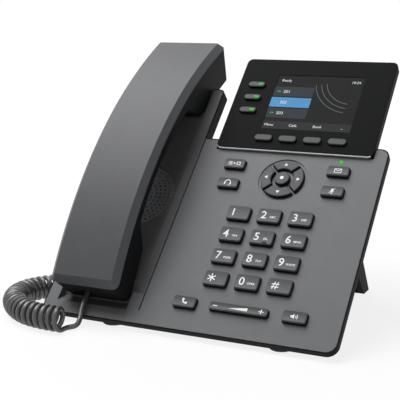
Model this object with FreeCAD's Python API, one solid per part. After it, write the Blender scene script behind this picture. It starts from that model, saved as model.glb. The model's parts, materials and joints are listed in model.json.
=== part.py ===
"""Desk IP phone: a tilted base with a display head, keys, cradle and stand, and a corded handset.

Millimetres, +Z up, the table at Z = 0. Most pieces are drawn flat in the plate frame, where u runs to
the right along the plate, v up its slope from the front edge and w out of its face. They are then tilted
onto the table. The origin ends up under the middle of the phone's own box, on the table.
"""
import FreeCAD, Part
import math
import os
from FreeCAD import Placement, Rotation
from FreeCAD import Vector as V

# Base outline and stance
TILT = 44.4
EDGE_HEIGHT = 4.8
BASE_W = 183.0
BASE_H = 135.5
CRADLE_W = 63.7
CRADLE_H = 176.3
CORNER_R = 6.7
TAB_R = 5.5
HEAD_R = 3.4
INNER_CORNER_R = 1.5

# Rear housing
RIM_LIP = 0.8
RIM_DROP = 0.2
RIM_DEPTH = 4.1
HEAD_RIM_DEPTH = 7.5
LEDGE = 1.6
HOUSING_DEPTH = 22.0
HEAD_DEPTH = 17.0
HOUSING_WALL = 2.0
TUB_INSET = 3.0
TUB_BACK_INSET = 8.0
TUB_FRONT_V = 36.0
TUB_CORNER_R = 5.0
VENT_SLOTS = 7
VENT_LENGTH = 26.0
VENT_WIDTH = 1.8
VENT_PITCH = 5.0
VENT_U = 40.0
VENT_V = 52.0

# Face plate
PLATE_T = 2.0
FIT = 0.1
GROOVE_W = 0.8
GROOVE_DEPTH = 1.2
GROOVE_START = 9.2
PAN_T = 1.8

# Handset cradle, measured from the handset's middle line
HANDSET_U = (CRADLE_W - BASE_W) / 2
TROUGH_DEPTH = 2.0
TROUGH_FLOOR = 49.0
TROUGH_TOP = 61.6
TROUGH_START = 20.0
TROUGH_FADE = 116.0
CRADLE_CLEAR = 18.0
SEAT_GAP = 0.3
WELL_HALF = 23.6
MOUTH_LIP_V = 8.2

# Loudspeaker behind the cradle floor
SPEAKER_V = 88.8
GRILLE_R = 23.4
GRILLE_T = 1.0
GRILLE_HOLE_R = 0.85
GRILLE_PITCH = 2.9
GRILLE_RIM = 3.1
GRILLE_STEP_W = 0.7
GRILLE_STEP_DEPTH = 0.5
SPEAKER_R = 18.0
SPEAKER_MAGNET_R = 11.0
SPEAKER_DEPTH = 12.0
SPEAKER_FRAME_T = 3.0
SPEAKER_SEAT = 1.5

# Display head
DISPLAY_U = 32.3
DISPLAY_W = 100.8
DISPLAY_V = 127.7
DISPLAY_H = 74.4
DISPLAY_R = 3.7
DISPLAY_FRONT = 2.2
DISPLAY_T = 5.5
DISPLAY_EDGE = 0.9
DISPLAY_WALL = 2.2
DISPLAY_FLOOR = 1.2
COVER_T = 1.2
NOTCH_GAP = 0.25
SPINE_W = 62.0
SPINE_TOP = 182.0
SPINE_T = 6.0
SPINE_DRAFT = 5.0

# Screen
LCD_U = 36.0
LCD_V = 166.6
LCD_W = 57.4
LCD_H = 44.2
LCD_BORDER = 2.6
LCD_SINK = 0.3
DISPLAY_BOARD_T = 0.8

# Keys
KEY_GAP = 0.35
FLANGE_LIP = 0.9
FLANGE_T = 1.0
FLANGE_GAP = 0.08
KEY_TRAVEL = 1.0
KEY_EDGE = 0.45
PAD_EDGE = 59.85
PAD_U = BASE_W / 2 - PAD_EDGE
DIAL_RISE = 2.3
DIAL_W = 14.2
DIAL_H = 9.5
DIAL_R = 1.4
DIAL_PITCH_U = 19.3
DIAL_PITCH_V = 15.1
DIAL_TOP_V = 80.2
SIDE_OFFSET_U = 32.95
SIDE_W = 13.4
SIDE_H = 6.9
SIDE_R = 1.3
SIDE_RISE = 2.3
SIDE_UPPER_V = 115.8
SIDE_LOWER_V = 101.2
BOTTOM_ROW_V = 17.6
CALL_W = 13.9
CALL_H = 7.0
VOLUME_W = 35.0
VOLUME_H = 5.0
VOLUME_TILT = 1.8
PIVOT_R = 0.8
PIVOT_L = 10.0
NAV_V = 108.0
NAV_RECESS_R = 15.1
NAV_RECESS_DEPTH = 0.6
NAV_OUTER_R = 13.2
NAV_INNER_R = 7.0
NAV_SPOKE = 1.6
NAV_RISE = 1.7
OK_R = 4.6
OK_RISE = 2.1
LINE_U = -5.3
LINE_TOP_V = 179.1
LINE_PITCH = 10.65
LINE_W = 11.2
LINE_H = 4.2
SOFT_V = 136.3
SOFT_U = 35.4
SOFT_COUNT = 4
SOFT_PITCH = 15.8
SOFT_W = 11.5
SOFT_H = 4.6
PILL_RISE = 1.6
LAMP_U = 64.2
LAMP_V = 123.9
LAMP_R = 1.0

# Key mat and main board
DOME_GAP = 0.15
DOME_H = 0.7
DOME_R = 2.2
MAT_T = 0.8
MAT_MARGIN = 3.0
BOARD_T = 1.6
BOARD_LEFT_INSET = 65.5
BOARD_LEFT = BOARD_LEFT_INSET - BASE_W / 2
BOARD_INSET = 14.5
BOARD_RIGHT = BASE_W / 2 - BOARD_INSET
BOARD_FRONT = 13.0
BOARD_BACK = 123.0
BOARD_JOIN = 1.0
BOARD_ARM_INSET = 13.5
BOARD_ARM_LEFT = BOARD_ARM_INSET - BASE_W / 2
BOARD_ARM_FRONT = 42.5
BOARD_ARM_BACK = 67.5
BOARD_GAP = 0.1

# Sockets on the sides of the rear housing
JACK_INSET = 7.0
JACK_FACE = BASE_W / 2 - JACK_INSET
RJ9_W = 11.0
RJ9_H = 11.6
RJ9_DEPTH = 15.0
RJ9_MOUTH_W = 7.9
RJ9_MOUTH_H = 6.9
RJ9_HOLE = 12.0
HANDSET_JACK_V = 61.0
HEADSET_JACK_V = 48.5
RJ45_W = 15.6
RJ45_H = 12.0
RJ45_DEPTH = 17.0
RJ45_MOUTH_W = 11.9
RJ45_MOUTH_H = 8.2
RJ45_HOLE = 13.0
LAN_JACK_V = 96.0
PC_JACK_V = 78.0
POWER_JACK_V = 62.0
POWER_JACK_W = 9.0
POWER_JACK_H = 10.6
POWER_JACK_DEPTH = 14.0
POWER_MOUTH_R = 3.15
POWER_PIN_ROOT = 1.0
POWER_PIN_R = 1.0
POWER_HOLE = 9.5
JACK_GAP = 0.25

# Screws that hold the housing to the plate
SCREW_EDGE = 14.5
SCREW_RIGHT = BASE_W / 2 - SCREW_EDGE
SCREW_SPOTS = [(-36.0, 52.0), (-26.5, 116.0), (SCREW_RIGHT, 48.0), (SCREW_RIGHT, 113.0)]
POST_R = 3.2
SCREW_R = 1.3
SCREW_HEAD_R = 2.7
SCREW_HEAD_T = 1.6
SCREW_LENGTH = 12.0
SCREW_SINK = 0.3

# Stand, in table coordinates behind the plate's front edge
STAND_W = 141.0
STAND_FOOT_FRONT = 124.7
STAND_FOOT_BACK = 135.4
STAND_TOP_V = 108.0
STAND_LOW_V = 88.0
STAND_WEB = 4.0
STAND_SKIN = 3.2
STAND_FLANGE_T = 3.0
STAND_WINDOW_W = 58.0
STAND_WINDOW_H = 22.0
STAND_WINDOW_R = 5.0
REAR_FOOT_T = 1.6
REAR_FOOT_W = 18.0
REAR_FOOT_X = 54.0
REAR_FOOT_MARGIN = 1.2
REAR_FOOT_R = 1.5
FRONT_FEET_X = [-47.0, 57.5]
FRONT_FOOT_R = 7.2
FRONT_FOOT_Y = 10.6
FRONT_FOOT_EDGE = 1.0

# Handset
ARC_R = 280.0
ARC_V = 101.0
ARC_TOP = 33.4
HS_BOTTOM_V = 11.5
HS_TOP_V = 208.0
HS_HALF_BOTTOM = 22.8
HS_HALF_MID = 22.4
HS_HALF_TOP = 25.6
HS_WIDTH_AT = 18.0
HS_DRAFT = 0.075
HS_CORNER_R = 4.4
HS_CHAMFER = 3.7
HS_SEAM = 4.5
HS_SKIN = 2.2
HS_WALL = 3.2
EAR_END_V = 197.4
EAR_END_W = -13.6
EAR_NECK_V = 153.5
EAR_NECK_W = -0.4
EAR_ROOT_V = 140.8
MOUTH_END_V = 15.0
MOUTH_END_W = -5.0
MOUTH_NECK_V = 48.0
MOUTH_NECK_W = 2.5
MOUTH_ROOT_V = 57.0
GRIP_ROOT_W = 18.8
GRIP_MID_W = 25.4
GRIP_R = 200.0
THROAT_R = 6.0
LIP_R = 3.0
GRIP_EDGE = 2.0
HANDLE_CAVITY = 3.6
CAPSULE_V = (EAR_NECK_V + EAR_END_V) / 2
CAPSULE_R = 14.0
CAPSULE_T = 8.0
MIC_SHIFT = 1.5
MIC_V = (MOUTH_END_V + MOUTH_NECK_V) / 2 + MIC_SHIFT
MIC_R = 5.0
MIC_T = 5.0
CAPSULE_WALL = 1.8
POCKET_GAP = 0.2
WEIGHT_L = 60.0
WEIGHT_W = 24.0
WEIGHT_T = 3.4
WEIGHT_R = 2.0

# Hook plunger in the ear seat
HOOK_FROM_NECK = 6.5
HOOK_V = EAR_NECK_V + HOOK_FROM_NECK
HOOK_W = 8.0
HOOK_L = 6.0
HOOK_GAP = 0.15
HOOK_TRAVEL = 3.0
HOOK_FLANGE = 1.2
HOOK_BRIM = 2.0
HOOK_STEM = 3.4
HOOK_CLEARANCE = 0.3

# Handset cord
CORD_D = 2.6
COIL_R = 6.0
COIL_PITCH = 4.25
COIL_STEPS = 24
BEND_SHARE = 0.45
CORD_FLOOR = 0.1
PLUG_W = 7.65
PLUG_H = 6.5
PLUG_L = 11.7
PLUG_TAB_W = 3.2
PLUG_TAB_T = 0.9
PLUG_TAB_MARGIN = 1.5
PLUG_OFFSET = 3.4
CORD_EXIT_U = HANDSET_U - PLUG_OFFSET
CORD_EXIT_V = 14.2
CORD_EXIT_W = 3.0
BASE_PLUG_OUT = 3.0

# Middle line of the curly stretch, from the handset end to the socket end.
# Places on these routes are measured from the base's left side, from its front edge and from the table.
ROUTE_LEFT = -BASE_W / 2
COIL_ROUTE = [
    (27.0, -18.3),
    (8.5, -18.6),
    (-10.0, -9.5),
    (-23.0, 5.5),
    (-25.1, 22.0),
    (-16.0, 38.2),
    (-2.0, 46.8),
    (17.5, 47.0),
    (33.5, 62.8),
    (33.3, 85.4),
    (17.5, 101.2),
    (-0.5, 103.0),
]

# Plain stretches between the curls and the plugs
LEAD_STRAIGHT = 7.8
LEAD_ROUTE = [
    (28.9, -3.7, 5.1),
]
TAIL_ROUTE = [
    (-3.9, 88.4, 2.2),
    (-8.1, 82.0, 6.6),
    (-12.3, 76.2, 13.6),
    (-14.7, 70.2, 21.4),
    (-14.5, 63.6, 29.2),
    (-11.1, 57.0, 35.2),
]

NODES = {}
CORD_NODES = ("handset_plug", "cord_lead", "cord_coil", "cord_tail", "base_plug")


def rounded_wire(corners):
    """Closed flat outline through (x, y, radius) corners, with an arc at each corner that has a radius."""
    edges = []
    first = None
    last = None
    count = len(corners)
    for i, (x, y, r) in enumerate(corners):
        here = V(x, y, 0)
        back = V(*corners[i - 1][:2], 0) - here
        ahead = V(*corners[(i + 1) % count][:2], 0) - here
        back.normalize()
        ahead.normalize()
        half = back.getAngle(ahead) / 2
        reach = r / math.tan(half)
        start = here + back * reach
        end = here + ahead * reach
        if last is not None:
            edges.append(Part.makeLine(last, start))
        if r > 0:
            middle = (back + ahead).normalize() * (r / math.sin(half) - r)
            edges.append(Part.Arc(start, here + middle, end).toShape())
        first = first or start
        last = end
    edges.append(Part.makeLine(last, first))
    return Part.Wire(edges)


def rect(mid_x, mid_y, width, height, r=0.0):
    """Corners of an upright rectangle with equal corner radii."""
    x0, x1 = mid_x - width / 2, mid_x + width / 2
    y0, y1 = mid_y - height / 2, mid_y + height / 2
    return [(x0, y0, r), (x1, y0, r), (x1, y1, r), (x0, y1, r)]


def span(x0, x1, y0, y1, r=0.0):
    """Corners of a rectangle given by its sides."""
    return rect((x0 + x1) / 2, (y0 + y1) / 2, x1 - x0, y1 - y0, r)


def prism(corners, w0, w1):
    """Outline in (u, v) raised from w0 to w1."""
    face = Part.Face(rounded_wire(corners))
    face.translate(V(0, 0, w0))
    return face.extrude(V(0, 0, w1 - w0))


def frustum(corners0, w0, corners1, w1):
    """Drafted block between two outlines of like corners."""
    wires = []
    for corners, w in ((corners0, w0), (corners1, w1)):
        wire = rounded_wire(corners)
        wire.translate(V(0, 0, w))
        wires.append(wire)
    return Part.makeLoft(wires, True, True)


def side_prism(corners, u0, u1):
    """Outline in (v, w) carried along u from u0 to u1."""
    solid = Part.Face(rounded_wire(corners)).extrude(V(0, 0, u1 - u0))
    turn = Rotation(V(0, 1, 0), V(0, 0, 1), V(1, 0, 0), "XYZ")
    solid.Placement = Placement(V(u0, 0, 0), turn)
    return solid


def disc(u, v, w0, w1, r):
    """Upright cylinder from w0 to w1."""
    return Part.makeCylinder(r, w1 - w0, V(u, v, w0))


def fused(first, *others):
    """One solid from overlapping pieces, with its seams cleaned."""
    return first.multiFuse(list(others)).removeSplitter()


def tilted(shape):
    """A plate-frame shape, set on the table."""
    moved = shape.copy()
    stance = Placement(V(0, 0, EDGE_HEIGHT), Rotation(V(1, 0, 0), TILT))
    moved.Placement = stance.multiply(moved.Placement)
    return moved


def table_point(u, v, w):
    """A plate-frame point in table coordinates."""
    turn = math.radians(TILT)
    y = v * math.cos(turn) - w * math.sin(turn)
    z = v * math.sin(turn) + w * math.cos(turn) + EDGE_HEIGHT
    return V(u, y, z)


# Places that several pieces share
CRADLE_EDGE = CRADLE_W - BASE_W / 2
PLATE_INSET = RIM_LIP + FIT
FLANGE_TOP = -PLATE_T - FLANGE_GAP
DOME_TOP = FLANGE_TOP - FLANGE_T - KEY_TRAVEL - DOME_GAP
MAT_TOP = DOME_TOP - DOME_H
BOARD_TOP = MAT_TOP - MAT_T
BOARD_BOTTOM = BOARD_TOP - BOARD_T
HOUSING_FLOOR = HOUSING_WALL - HOUSING_DEPTH
DISPLAY_BACK = DISPLAY_FRONT - DISPLAY_T
COVER_BACK = DISPLAY_FRONT - COVER_T
DISPLAY_POCKET = DISPLAY_BACK + DISPLAY_FLOOR
DISPLAY_TOP_V = DISPLAY_V + DISPLAY_H
EAR_SLOPE = (EAR_END_W - EAR_NECK_W) / (EAR_END_V - EAR_NECK_V)
MOUTH_SLOPE = (MOUTH_NECK_W - MOUTH_END_W) / (MOUTH_NECK_V - MOUTH_END_V)


def arc_height(v):
    """Height of the handset's outer face at v."""
    return ARC_TOP - ARC_R + math.sqrt(ARC_R**2 - (v - ARC_V) ** 2)


def ear_face(v):
    """Height of the handset's ear face, which deepens towards its end."""
    return EAR_NECK_W + EAR_SLOPE * (v - EAR_NECK_V)


def mouth_face(v):
    """Height of the handset's mouth face."""
    return MOUTH_END_W + MOUTH_SLOPE * (v - MOUTH_END_V)


CAPSULE_BASE_W = ear_face(CAPSULE_V - CAPSULE_R) + CAPSULE_WALL
MIC_BASE_W = mouth_face(MIC_V + MIC_R) + CAPSULE_WALL
LOW_RAKE = (HS_BOTTOM_V - MOUTH_END_V) / (arc_height(HS_BOTTOM_V) - MOUTH_END_W)
TOP_RAKE = (HS_TOP_V - EAR_END_V) / (arc_height(HS_TOP_V) - EAR_END_W)


def base_outline(inset):
    """The base seen square to the plate, drawn in from its edge."""
    left = inset - BASE_W / 2
    right = BASE_W / 2 - inset
    step = CRADLE_EDGE - inset
    low = CORNER_R - inset
    return [
        (left, inset, low),
        (right, inset, low),
        (right, BASE_H - inset, TAB_R - inset),
        (step, BASE_H - inset, INNER_CORNER_R + inset),
        (step, CRADLE_H - inset, HEAD_R - inset),
        (left, CRADLE_H - inset, HEAD_R - inset),
    ]


def cradle_void():
    """Everything above the cradle's floor: the trough, the ear ramp and the mouth scoop."""
    top = CRADLE_CLEAR
    half = WELL_HALF
    trough_section = [
        (HANDSET_U - TROUGH_FLOOR / 2, -TROUGH_DEPTH, 0),
        (HANDSET_U + TROUGH_FLOOR / 2, -TROUGH_DEPTH, 0),
        (HANDSET_U + TROUGH_TOP / 2, 0, 0),
        (HANDSET_U + TROUGH_TOP / 2, top, 0),
        (HANDSET_U - TROUGH_TOP / 2, top, 0),
        (HANDSET_U - TROUGH_TOP / 2, 0, 0),
    ]
    trough = Part.Face(rounded_wire(trough_section)).extrude(V(0, 0, EAR_NECK_V - TROUGH_START))
    turn = Rotation(V(1, 0, 0), V(0, 0, 1), V(0, -1, 0), "XYZ")
    trough.Placement = Placement(V(0, EAR_NECK_V, 0), turn)
    fading_floor = [
        (TROUGH_START, -TROUGH_DEPTH, 0),
        (TROUGH_FADE, -TROUGH_DEPTH, 0),
        (EAR_NECK_V, 0, 0),
        (EAR_NECK_V, top, 0),
        (TROUGH_START, top, 0),
    ]
    trough = trough.common(side_prism(fading_floor, HANDSET_U - TROUGH_TOP / 2, HANDSET_U + TROUGH_TOP / 2))
    past = CRADLE_H + HEAD_R
    ramp = [
        (EAR_NECK_V - HEAD_R, ear_face(EAR_NECK_V - HEAD_R) - SEAT_GAP, 0),
        (past, ear_face(past) - SEAT_GAP, 0),
        (past, top, 0),
        (EAR_NECK_V - HEAD_R, top, 0),
    ]
    foot_v = MOUTH_END_V - SEAT_GAP
    scoop = [
        (foot_v, mouth_face(foot_v) - SEAT_GAP, 0),
        (MOUTH_NECK_V, mouth_face(MOUTH_NECK_V) - SEAT_GAP, 0),
        (MOUTH_NECK_V, top, 0),
        (MOUTH_LIP_V, top, 0),
        (MOUTH_LIP_V, 0, 0),
    ]
    seats = [side_prism(corners, HANDSET_U - half, HANDSET_U + half) for corners in (ramp, scoop)]
    return trough.multiFuse(seats)


def cradle_pan(grow):
    """The shell that hangs under the plate round the cradle's floor, grown for clearance."""
    skin = PAN_T + grow
    half = WELL_HALF + skin
    trough = prism(
        span(HANDSET_U - TROUGH_TOP / 2, HANDSET_U + TROUGH_TOP / 2, TROUGH_START, EAR_NECK_V + skin),
        -TROUGH_DEPTH - skin,
        -RIM_DROP,
    )
    end_v = CRADLE_H - PLATE_INSET + grow
    start_v = EAR_NECK_V - HEAD_R - skin
    ramp = [
        (start_v, -TROUGH_DEPTH - skin, 0),
        (EAR_NECK_V, -TROUGH_DEPTH - skin, 0),
        (end_v, ear_face(end_v) - SEAT_GAP - skin, 0),
        (end_v, -RIM_DROP, 0),
        (start_v, -RIM_DROP, 0),
    ]
    foot_v = MOUTH_END_V - SEAT_GAP
    neck_v = TROUGH_START + skin
    scoop = [
        (foot_v - skin / 2, mouth_face(foot_v) - SEAT_GAP - skin, 0),
        (neck_v, mouth_face(neck_v) - SEAT_GAP - skin, 0),
        (neck_v, -RIM_DROP, 0),
        (MOUTH_LIP_V - skin, -RIM_DROP, 0),
    ]
    seats = [side_prism(corners, HANDSET_U - half, HANDSET_U + half) for corners in (ramp, scoop)]
    return trough.multiFuse(seats)


def display_notch(gap):
    """Room for the display head's lower edge."""
    low = DISPLAY_V - gap
    half = DISPLAY_W / 2 + gap
    return span(DISPLAY_U - half, DISPLAY_U + half, low, DISPLAY_TOP_V)


class Key:
    """One push key: its name, plan outline, the panel it stands in and how far it stands out."""

    def __init__(self, name, cap, hole, flange, panel_top, panel_t, rise, mid, swing=0.0):
        self.name = name
        self.cap = cap
        self.hole = hole
        self.flange = flange
        self.panel_top = panel_top
        self.panel_t = panel_t
        self.rise = rise
        self.mid = mid
        self.swing = swing

    def aperture(self):
        """The hole through the panel."""
        return self.hole(self.panel_top - 2 * self.panel_t, self.panel_top + self.rise)

    def solid(self):
        """Cap with an eased top edge, on a flange that stops it under the panel."""
        flange_top = self.panel_top - self.panel_t - FLANGE_GAP - self.swing
        cap = self.cap(flange_top - FLANGE_T, self.panel_top + self.rise)
        top = max(cap.Faces, key=lambda face: face.CenterOfMass.z)
        cap = cap.makeChamfer(KEY_EDGE, top.Edges)
        key = fused(cap, self.flange(flange_top - FLANGE_T, flange_top))
        if self.swing > 0:
            key = fused(key, self.pivot(flange_top - FLANGE_T / 2))
        return key

    def pivot(self, w):
        """Round pin across a rocking key, on the line that it turns about."""
        u, v = self.mid
        return Part.makeCylinder(PIVOT_R, PIVOT_L, V(u, v - PIVOT_L / 2, w), V(0, 1, 0))


def rect_key(name, u, v, width, height, r, rise, panel_top=0.0, panel_t=PLATE_T, tilt=0.0):
    """A key with a rounded rectangular cap, its flange lower by what its ends rise when it rocks."""
    swing = (width / 2 + KEY_GAP + FLANGE_LIP) * math.tan(math.radians(tilt))

    def grown(grow):
        corners = rect(u, v, width + 2 * grow, height + 2 * grow, r + max(grow, 0))
        return lambda w0, w1: prism(corners, w0, w1)

    flange = grown(KEY_GAP + FLANGE_LIP)
    return Key(name, grown(0), grown(KEY_GAP), flange, panel_top, panel_t, rise, (u, v), swing)


def round_key(name, u, v, r, rise):
    """A key with a round cap."""

    def grown(grow):
        return lambda w0, w1: disc(u, v, w0, w1, r + grow)

    return Key(name, grown(0), grown(KEY_GAP), grown(KEY_GAP + FLANGE_LIP), 0.0, PLATE_T, rise, (u, v))


def sector_key(name, heading):
    """One quarter of the navigation ring, between two diagonal spokes."""

    def grown(grow):
        outer = NAV_OUTER_R + grow
        inner = NAV_INNER_R - grow
        side = NAV_SPOKE / 2 - grow

        def build(w0, w1):
            reach = outer * 2
            apex = side * math.sqrt(2)
            wedge = prism([(apex, 0, 0), (reach + apex, -reach, 0), (reach + apex, reach, 0)], w0, w1)
            ring = disc(0, 0, w0, w1, outer).cut(disc(0, 0, w0, w1, inner))
            quarter = ring.common(wedge)
            quarter.Placement = Placement(V(PAD_U, NAV_V, 0), Rotation(V(0, 0, 1), heading))
            return quarter

        return build

    arm = (NAV_OUTER_R + NAV_INNER_R) / 2
    turn = math.radians(heading)
    mid = (PAD_U + arm * math.cos(turn), NAV_V + arm * math.sin(turn))
    lip = NAV_SPOKE / 2 - FIT - KEY_GAP
    flange = grown(KEY_GAP + min(lip, FLANGE_LIP))
    return Key(name, grown(0), grown(KEY_GAP), flange, 0.0, PLATE_T, NAV_RISE, mid)


def list_keys():
    """Every key on the phone."""
    keys = []
    names = ["1", "2", "3", "4", "5", "6", "7", "8", "9", "star", "0", "hash"]
    for i, name in enumerate(names):
        u = PAD_U + (i % 3 - 1) * DIAL_PITCH_U
        v = DIAL_TOP_V - (i // 3) * DIAL_PITCH_V
        keys.append(rect_key("key_" + name, u, v, DIAL_W, DIAL_H, DIAL_R, DIAL_RISE))
    left = PAD_U - SIDE_OFFSET_U
    right = PAD_U + SIDE_OFFSET_U
    sides = [
        ("key_transfer", left, SIDE_UPPER_V),
        ("key_headset", left, SIDE_LOWER_V),
        ("key_message", right, SIDE_UPPER_V),
        ("key_mute", right, SIDE_LOWER_V),
    ]
    for name, u, v in sides:
        keys.append(rect_key(name, u, v, SIDE_W, SIDE_H, SIDE_R, SIDE_RISE))
    for name, u in (("key_call", left), ("key_speaker", right)):
        keys.append(rect_key(name, u, BOTTOM_ROW_V, CALL_W, CALL_H, SIDE_R, SIDE_RISE))
    rocker = rect_key(
        "key_volume", PAD_U, BOTTOM_ROW_V, VOLUME_W, VOLUME_H, SIDE_R, SIDE_RISE, tilt=VOLUME_TILT
    )
    keys.append(rocker)
    for heading, name in enumerate(["right", "up", "left", "down"]):
        keys.append(sector_key("key_" + name, 90 * heading))
    keys.append(round_key("key_ok", PAD_U, NAV_V, OK_R, OK_RISE))
    for i in range(3):
        v = LINE_TOP_V - i * LINE_PITCH
        r = LINE_H / 2 - FIT
        keys.append(
            rect_key(f"key_line_{i + 1}", LINE_U, v, LINE_W, LINE_H, r, PILL_RISE, DISPLAY_FRONT, COVER_T)
        )
    for i in range(SOFT_COUNT):
        u = SOFT_U + (i - (SOFT_COUNT - 1) / 2) * SOFT_PITCH
        r = SOFT_H / 2 - FIT
        keys.append(
            rect_key(f"key_soft_{i + 1}", u, SOFT_V, SOFT_W, SOFT_H, r, PILL_RISE, DISPLAY_FRONT, COVER_T)
        )
    return keys


KEYS = list_keys()
PLATE_KEYS = [key for key in KEYS if key.panel_top == 0.0]
HEAD_KEYS = [key for key in KEYS if key.panel_top != 0.0]


def posts(r, w0, w1):
    """Upright cylinders at the screw spots."""
    return [disc(u, v, w0, w1, r) for u, v in SCREW_SPOTS]


def make_face_plate():
    """Grey front moulding: plate, cradle pan, key holes, groove and display notch."""
    slab = prism(base_outline(PLATE_INSET), -PLATE_T, 0)
    slab = slab.cut(prism(display_notch(NOTCH_GAP), -2 * PLATE_T, PLATE_T))
    inside = prism(base_outline(PLATE_INSET), -2 * HEAD_DEPTH, 0)
    pan = cradle_pan(0).common(inside)
    studs = posts(POST_R, HOUSING_FLOOR, -PLATE_T / 2)
    plate = fused(slab, pan, *studs)
    groove_v = CRADLE_H
    groove = prism(
        span(CRADLE_EDGE - GROOVE_W, CRADLE_EDGE, GROOVE_START, groove_v), -GROOVE_DEPTH, PLATE_T
    )
    cuts = [cradle_void(), groove]
    cuts.append(disc(PAD_U, NAV_V, -NAV_RECESS_DEPTH, PLATE_T, NAV_RECESS_R))
    cuts += [key.aperture() for key in PLATE_KEYS]
    cuts.append(disc(LAMP_U, LAMP_V, -2 * PLATE_T, PLATE_T, LAMP_R + FIT))
    floor = -TROUGH_DEPTH
    cuts.append(disc(HANDSET_U, SPEAKER_V, floor - GRILLE_T, 0, GRILLE_R + FIT))
    cuts.append(disc(HANDSET_U, SPEAKER_V, floor - 2 * PAN_T, 0, SPEAKER_R - SPEAKER_SEAT))
    hook_u = HOOK_W / 2 + HOOK_CLEARANCE
    hook_v = HOOK_L / 2 + HOOK_CLEARANCE
    cuts.append(
        prism(
            span(HANDSET_U - hook_u, HANDSET_U + hook_u, HOOK_V - hook_v, HOOK_V + hook_v),
            -HEAD_DEPTH,
            PLATE_T,
        )
    )
    cuts += posts(SCREW_R + FIT / 2, HOUSING_FLOOR - HOUSING_WALL, HOUSING_FLOOR + SCREW_LENGTH + FIT)
    return plate.cut(cuts)


def tub(inset, back_inset, depth, front_v):
    """Main body of the rear housing as a drafted block."""
    left = inset - BASE_W / 2
    top = span(left, -left, inset, BASE_H - inset, TUB_CORNER_R)
    back_left = back_inset - BASE_W / 2
    back = span(back_left, -back_left, front_v, BASE_H - back_inset, TUB_CORNER_R)
    return frustum(top, -RIM_DEPTH, back, -depth)


def head_tub(inset, back_inset, depth):
    """Body behind the upper part of the cradle."""
    left = -BASE_W / 2
    root_v = BASE_H - 2 * back_inset
    top = span(left + inset, CRADLE_EDGE - inset, root_v, CRADLE_H - inset, TUB_CORNER_R)
    back = span(left + back_inset, CRADLE_EDGE - back_inset, root_v, CRADLE_H - back_inset, TUB_CORNER_R)
    return frustum(top, -HEAD_RIM_DEPTH, back, -depth)


def display_spine():
    """Backbone that rises behind the display head and carries it."""
    half = SPINE_W / 2
    root_v = BASE_H - TUB_BACK_INSET
    front = span(DISPLAY_U - half, DISPLAY_U + half, root_v, SPINE_TOP, TUB_CORNER_R)
    back = span(
        DISPLAY_U - half + SPINE_DRAFT,
        DISPLAY_U + half - SPINE_DRAFT,
        root_v,
        SPINE_TOP - SPINE_DRAFT,
        TUB_CORNER_R,
    )
    return frustum(front, DISPLAY_BACK, back, DISPLAY_BACK - SPINE_T)


def jack_blocks():
    """Name, side, middle v, width, height and depth of each socket's block."""
    return [
        ("handset", -1, HANDSET_JACK_V, RJ9_W, RJ9_H, RJ9_DEPTH),
        ("headset", -1, HEADSET_JACK_V, RJ9_W, RJ9_H, RJ9_DEPTH),
        ("lan", 1, LAN_JACK_V, RJ45_W, RJ45_H, RJ45_DEPTH),
        ("pc", 1, PC_JACK_V, RJ45_W, RJ45_H, RJ45_DEPTH),
        ("power", 1, POWER_JACK_V, POWER_JACK_W, POWER_JACK_H, POWER_JACK_DEPTH),
    ]


def side_block(side, v, width, height, depth, mid_w, grow=0.0, out=0.0):
    """Block that goes in from the housing's side face at the sockets, and a way out past it."""
    outer = side * (JACK_FACE + out)
    inner = side * (JACK_FACE - depth - grow)
    u0, u1 = min(outer, inner), max(outer, inner)
    half_w = width / 2 + grow
    half_h = height / 2 + grow
    return prism(span(u0, u1, v - half_w, v + half_w), mid_w - half_h, mid_w + half_h)


def jack_mid(height):
    """Height of a socket block's middle, under the board."""
    return BOARD_BOTTOM - BOARD_GAP - height / 2


def hook_foot():
    """Height of the plunger's lower end, below the seat by its travel and stem."""
    seat = min(-TROUGH_DEPTH, ear_face(HOOK_V + HOOK_L / 2) - SEAT_GAP)
    return seat - PAN_T - HOOK_TRAVEL - HOOK_STEM


def hook_plan(grow):
    """The plunger's stem outline, grown all round."""
    return rect(HANDSET_U, HOOK_V, HOOK_W + 2 * grow, HOOK_L + 2 * grow)


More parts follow.
